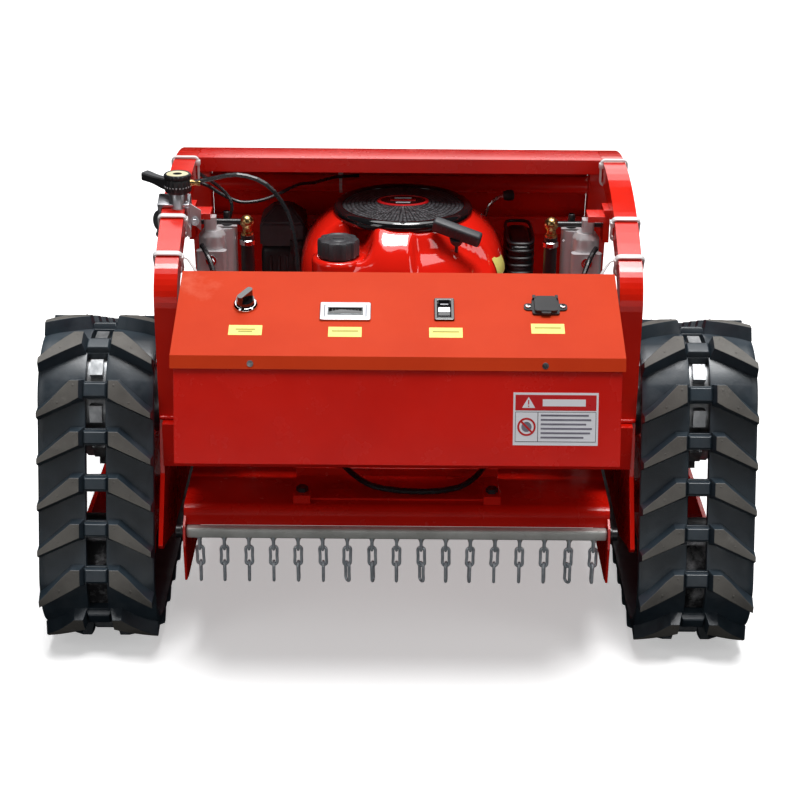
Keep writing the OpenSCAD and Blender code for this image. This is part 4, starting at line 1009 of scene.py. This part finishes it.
def make_throttle():
    """The turning hub and arm, the fixed cap with its dial above them, and the hoop's clamp."""
    spot = Vector(joints["throttle_turn"]["pos_m"])
    base = low("throttle_lever").z
    hub = Vector((spot.x, spot.y, base))

    def knurl(angle, ring):
        return 1 + (0.030 * math.cos(angle * 18) if ring in (2, 3, 4) else 0)

    bm = bmesh.new()
    add_lathe(bm, [(0, 0), (0.0155, 0), (0.0168, 0.002), (0.0172, 0.0035), (0.0172, 0.0165),
                   (0.0162, 0.0184), (0, 0.0184)], hub, steps=144, wave=knurl)
    for k in range(11):
        a = math.radians(195 + k * 15)
        add_box(bm, (0.0012, 0.0016, 0.0018), hub + Vector((0.0173 * math.cos(a), 0.0173 * math.sin(a),
                                                            0.0085)),
                Matrix.Rotation(a, 4, "Z"), 0.0003, 1, 2)
    arm = Matrix.Translation(hub) @ Matrix.Rotation(math.radians(150), 4, "Z")
    rings = []
    for r, half, z0, z1 in ((0.006, 0.007, 0.001, 0.0155), (0.016, 0.0068, 0.001, 0.0160),
                            (0.024, 0.0062, 0.002, 0.0162), (0.032, 0.0060, 0.0045, 0.0166),
                            (0.040, 0.0066, 0.0068, 0.0176), (0.047, 0.0074, 0.0080, 0.0188),
                            (0.0535, 0.0076, 0.0086, 0.0196)):
        ring = []
        for y, z in ((-half, z0 + 0.0016), (-half + 0.0016, z0), (half - 0.0016, z0), (half, z0 + 0.0016),
                     (half, z1 - 0.0016), (half - 0.0016, z1), (-half + 0.0016, z1), (-half, z1 - 0.0016)):
            ring.append(bm.verts.new(arm @ Vector((r, y, z))))
        rings.append(ring)
    for a, b in zip(rings, rings[1:]):
        for k in range(8):
            face = bm.faces.new([a[k], a[(k + 1) % 8], b[(k + 1) % 8], b[k]])
            # The arm's top face takes the lighter grey plastic as a painted highlight; its sides stay black.
            face.material_index = 3 if k == 5 else 0
    bm.faces.new(rings[-1])
    bm.faces.new(rings[0])
    add_piece("throttle_knob", bm, ("plastic", "dial", "white", "grey_plastic"), "throttle",
              "throttle_lever", 32)
    bm = bmesh.new()
    add_lathe(bm, [(0, 0.0190), (0.0160, 0.0190), (0.0172, 0.0196), (0.0175, 0.0212), (0.0174, 0.0234),
                   (0.0165, 0.0247), (0.0150, 0.0250), (0.0143, 0.0242)], hub, steps=144, wave=knurl)
    add_lathe(bm, [(0.0143, 0.0242), (0.0141, 0.0240), (0.0062, 0.0247), (0.0058, 0.0242)], hub,
              steps=48, material=1)
    add_lathe(bm, [(0.0058, 0.0242), (0.0052, 0.0222), (0.0030, 0.0217), (0, 0.0219)], hub, steps=48)
    add_piece("throttle_dial", bm, ("plastic", "dial"), "chassis", sharp=32)
    centre, turn = hoop_frame(CLAMP_ANGLE)
    centre.x = low("left_hoop").x + TUBE / 2
    wall, bore, deep = 0.0054, 0.0312, 0.026
    bm = bmesh.new()
    for flip in (-1, 1):
        off = flip * (bore + wall) / 2
        add_box(bm, (bore + 2 * wall, deep, wall), centre + turn.to_3x3() @ Vector((0, 0, off)), turn,
                0.0012, 2)
        add_box(bm, (wall, deep, bore), centre + turn.to_3x3() @ Vector((off, 0, 0)), turn, 0.0010, 2)
    add_lathe(bm, [(0, -0.0242), (0.0120, -0.0242), (0.0120, -0.0030), (0.0108, -0.0008), (0, -0.0008)],
              hub, steps=48)
    add_piece("throttle_bracket", bm, "alloy", "chassis", "throttle_clamp")


def make_throttle_fittings():
    """The cable's ferrule, and the disc and folded plate beside the clamp."""
    spot = Vector(joints["throttle_turn"]["pos_m"])
    start = Vector((low("throttle_cable").x, spot.y - 0.0015, high("throttle_lever").z - 0.006))
    bm = bmesh.new()
    add_lathe(bm, [(0, -0.004), (0.0042, -0.004), (0.0042, 0.002), (0.0035, 0.003), (0.0035, 0.009),
                   (0.0040, 0.0095), (0.0040, 0.0115), (0, 0.0115)], start, facing((1, 0, -0.03)), 20)
    add_piece("cable_ferrule", bm, "brass", "chassis")
    centre, turn = hoop_frame(CLAMP_ANGLE)
    bm = bmesh.new()
    left = Vector((low("left_hoop").x - 0.006, centre.y - 0.006, centre.z - 0.010))
    add_lathe(bm, [(0, -0.003), (0.0125, -0.003), (0.0135, -0.002), (0.0135, 0.0005), (0.0125, 0.0015),
                   (0, 0.0015)], left, facing((-0.75, -0.65, 0.12)), 48)
    add_hex_bolt(bm, left + Vector((0.001, -0.003, -0.017)), (-0.6, -0.8, 0), 0.007, 0.004)
    inner = Vector((-0.280, centre.y, centre.z))
    corners = [(0.001, -0.016, 0.020), (0.020, -0.012, 0.006), (0.019, -0.010, -0.022),
               (0.001, -0.012, -0.004)]
    front = [bm.verts.new(inner + Vector(c)) for c in corners]
    back = [bm.verts.new(inner + Vector(c) + Vector((0, 0.0025, 0))) for c in corners]
    bm.faces.new(front)
    bm.faces.new(list(reversed(back)))
    for k in range(4):
        bm.faces.new([front[k], back[k], back[(k + 1) % 4], front[(k + 1) % 4]])
    add_hex_bolt(bm, inner + Vector((0.012, -0.013, -0.008)), (0, -1, 0.1), 0.007, 0.004)
    add_piece("clamp_disc", bm, "alloy", "chassis")


def make_actuator_details():
    """Plate screws, strain reliefs, brass ball ends and collars of the lifting gear."""
    screws, brass, rubber = bmesh.new(), bmesh.new(), bmesh.new()
    strut_x = high("gas_strut_rods").x - 0.008
    strut_y = middle("gas_strut_rods").y
    ball_z = high("gas_struts").z - 0.009
    plate_x, plate_top = 0.250, 0.488
    relief_x, relief_z = 0.233, 0.511
    collar_z, collar_gap = 0.356, 0.134
    for side in SIDES.values():
        x = side * plate_x
        y = low("right_actuator").y - 0.001
        add_hex_bolt(screws, Vector((x, y, plate_top - 0.010)), (0, -1, 0), 0.0085, 0.003)
        for dx in (-0.014, 0.014):
            add_lathe(screws, [(0, 0.0018), (0.0022, 0.0014), (0.0026, 0)],
                      Vector((x + dx, y, plate_top - 0.070)), facing((0, -1, 0)), 16)
        ball = Vector((side * strut_x, strut_y, ball_z))
        add_lathe(brass, [(0, 0.0096), (0.005, 0.0083), (0.0085, 0.0045), (0.0096, 0), (0.0085, -0.0045),
                          (0.0062, -0.0078), (0.0062, -0.014), (0.0085, -0.0145), (0.0085, -0.020),
                          (0, -0.020)], ball, steps=28)
        add_lathe(rubber, [(0.0036, 0.018), (0.0042, 0.0175), (0.0050, 0.011), (0.0046, 0.010),
                           (0.0056, 0.006), (0.0052, 0.005), (0.0066, 0.001), (0.0068, -0.002), (0, -0.002)],
                  Vector((side * relief_x, low("left_actuator").y + 0.056, relief_z)), steps=24)
        for k in range(2):
            add_lathe(screws, [(0.0093, -0.004), (0.0105, -0.003), (0.0105, 0.003), (0.0093, 0.004)],
                      Vector((side * strut_x, strut_y, collar_z + k * collar_gap)), steps=32)
    add_piece("actuator_screws", screws, "chrome", "chassis")
    add_piece("strut_balls", brass, "brass", "chassis")
    add_piece("lead_reliefs", rubber, "plastic", "chassis")


# ---- Chains ----
LINK_L, LINK_W, WIRE = 0.031, 0.013, 0.0040


def add_link(bm, top, twist, lean=0.0, material=0, worn=0.0):
    """An oval link hanging from top; twist turns it about its length, and lean tips it sideways."""
    bend, leg = (LINK_W - WIRE) / 2, LINK_L - LINK_W
    points = []
    for k in range(13):
        a = math.pi * k / 12
        points.append(Vector((bend * math.cos(a), 0, -LINK_W / 2 + bend * math.sin(a))))
    for k in range(13):
        a = math.pi + math.pi * k / 12
        points.append(Vector((bend * math.cos(a), 0, -LINK_W / 2 - leg + bend * math.sin(a))))
    points.insert(13, Vector((-bend * (1 - worn), 0, -LINK_W / 2 - leg / 2)))
    points.append(Vector((bend * (1 - worn * 0.6), 0, -LINK_W / 2 - leg / 2)))
    spot = Matrix.Translation(top) @ Matrix.Rotation(lean, 4, "Y") @ Matrix.Rotation(twist, 4, "Z")
    add_tube(bm, [spot @ p for p in points], WIRE / 2, 10, material, closed=True)


def make_chains():
    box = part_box("chain_bar")
    y, bar_z = (box[0].y + box[1].y) / 2, box[1].z - 0.007
    count, gap = 17, 0.0319
    fixed, loose = bmesh.new(), bmesh.new()
    add_box(fixed, (box[1].x - box[0].x, 0.0135, 0.0138), Vector((0, y, bar_z)), None, 0.0028, 3)
    for i in range(count):
        x = (i - (count - 1) / 2) * gap
        drift = smooth_noise(Vector((i * 1.37, 0.4, 2.1)))
        second = smooth_noise(Vector((i * 2.11, 5.3, 0.7)))
        add_link(fixed, Vector((x, y, bar_z + 0.004)), math.pi / 2 + drift * 0.10, 0, 1)
        add_lathe(fixed, [(0.0062, 0.0004), (0.0046, -0.0012), (0.0030, -0.0040), (0.0022, -0.0072)],
                  Vector((x, y, bar_z - 0.0069)), steps=14, wave=lambda a, r: 1 + 0.10 * math.sin(3 * a + i))
        link2 = bar_z + 0.004 - LINK_L + 2 * WIRE + 0.0002
        link3 = link2 - LINK_L + 2 * WIRE + 0.0002
        add_link(loose, Vector((x, y, link2)), drift * 0.5, drift * 0.05, 0, 0.10 + 0.1 * second)
        swing = Vector((x - math.sin(drift * 0.05) * (link2 - link3), y, link3))
        twist = math.pi / 2 + second * 0.55 + (0.75 if i in (6, 9, 15) else 0)
        add_link(loose, swing, twist, second * 0.07, 0, 0.08)
    add_piece("chain_bar_and_stems", fixed, ("bar", "zinc"), "deck", "chain_bar", 40)
    add_piece("chain_links", loose, "zinc", "chains", "chain_curtain", 60)


def make_welds():
    """Weld beads where the hoops stand on the frame, and at the cross tube."""
    bm = bmesh.new()
    z = low("left_hoop").z + 0.003
    front, back = low("left_hoop").y, low("left_hoop").y + TUBE
    inner, outer = high("right_hoop").x - TUBE, high("right_hoop").x
    for side in SIDES.values():
        add_weld(bm, Vector((side * inner, front - 0.001, z)), Vector((side * outer, front - 0.001, z)),
                 0.0030)
        add_weld(bm, Vector((side * (inner - 0.001), front, z)), Vector((side * (inner - 0.001), back, z)),
                 0.0028)
        for k in range(10):
            a, b = (2 * math.pi * (k + j) / 10 for j in (0, 1))
            hub = Vector((side * (inner - 0.0005), low("cross_tubes").y + CROSS_R,
                          high("cross_tubes").z - CROSS_R))
            add_weld(bm, hub + 0.0132 * Vector((0, math.cos(a), math.sin(a))),
                     hub + 0.0132 * Vector((0, math.cos(b), math.sin(b))), 0.0020)
    add_piece("weld_beads", bm, "paint", "chassis", sharp=60)


looks = make_materials()
make_camera()
make_studio()
make_tracks()
make_cowl()
make_grille()
make_fuel_cap()
make_handle()
make_air_cleaner()
make_muffler()
make_engine_extras()
make_lid_labels()
make_danger_label()
make_meter_and_port()
make_ties()
make_throttle()
make_throttle_fittings()
make_actuator_details()
make_chains()
make_welds()

for node, material, width in (
        ("chassis_frame", "paint", 0.002),
        ("left_hoop", "hoop_paint", 0.0035), ("right_hoop", "hoop_paint", 0.0035),
        ("front_cover", "paint", 0.001), ("cross_tubes", "paint", 0.001), ("control_box", "paint", 0.0012),
        ("control_lid", "lid_paint_lit_tone", 0.0012), ("lid_screws", "worn", 0.0003),
        ("battery_pack", "plastic", 0.001), ("drive_controller", "alloy", 0.0005),
        ("charge_meter", "alloy", 0.0008), ("charging_port", "plastic", 0.0005),
        ("start_switch", "chrome", 0.0008), ("rocker_frame", "gloss_black", 0.0008),
        ("start_knob", "gloss_black", 0.0008), ("rocker_switch", "gloss_black", 0.0008),
        ("port_cover", "plastic", 0.0008),
        ("wiring", "jacket", 0.0002), ("throttle_cable", "jacket", 0.0002),
        ("left_track_frame", "paint", 0.001), ("right_track_frame", "paint", 0.001),
        ("left_gearmotor", "alloy", 0.0015), ("right_gearmotor", "alloy", 0.0015),
        ("left_actuator", "can", 0.0025), ("right_actuator", "can", 0.0025),
        ("gas_struts", "black", 0.0008), ("gas_strut_rods", "bright", 0.0005),
        ("left_actuator_rod", "bright", 0.0008), ("right_actuator_rod", "bright", 0.0008),
        ("left_sprocket", "tooth", 0.001), ("right_sprocket", "tooth", 0.001),
        ("deck_shell", "paint", 0.0012), ("deck_flap", "paint", 0.0008), ("deck_bolts", "black", 0.0006),
        ("engine_block", "cast", 0.0012),
        ("crankshaft", "bright", 0.0006), ("cutter_blade", "worn", 0.0006)):
    soften(node, material, width)
for side in SIDES:
    for wheel in ("near_idler", "far_idler", "roller_1", "roller_2", "roller_3"):
        soften(f"{side}_{wheel}", "worn", 0.001)
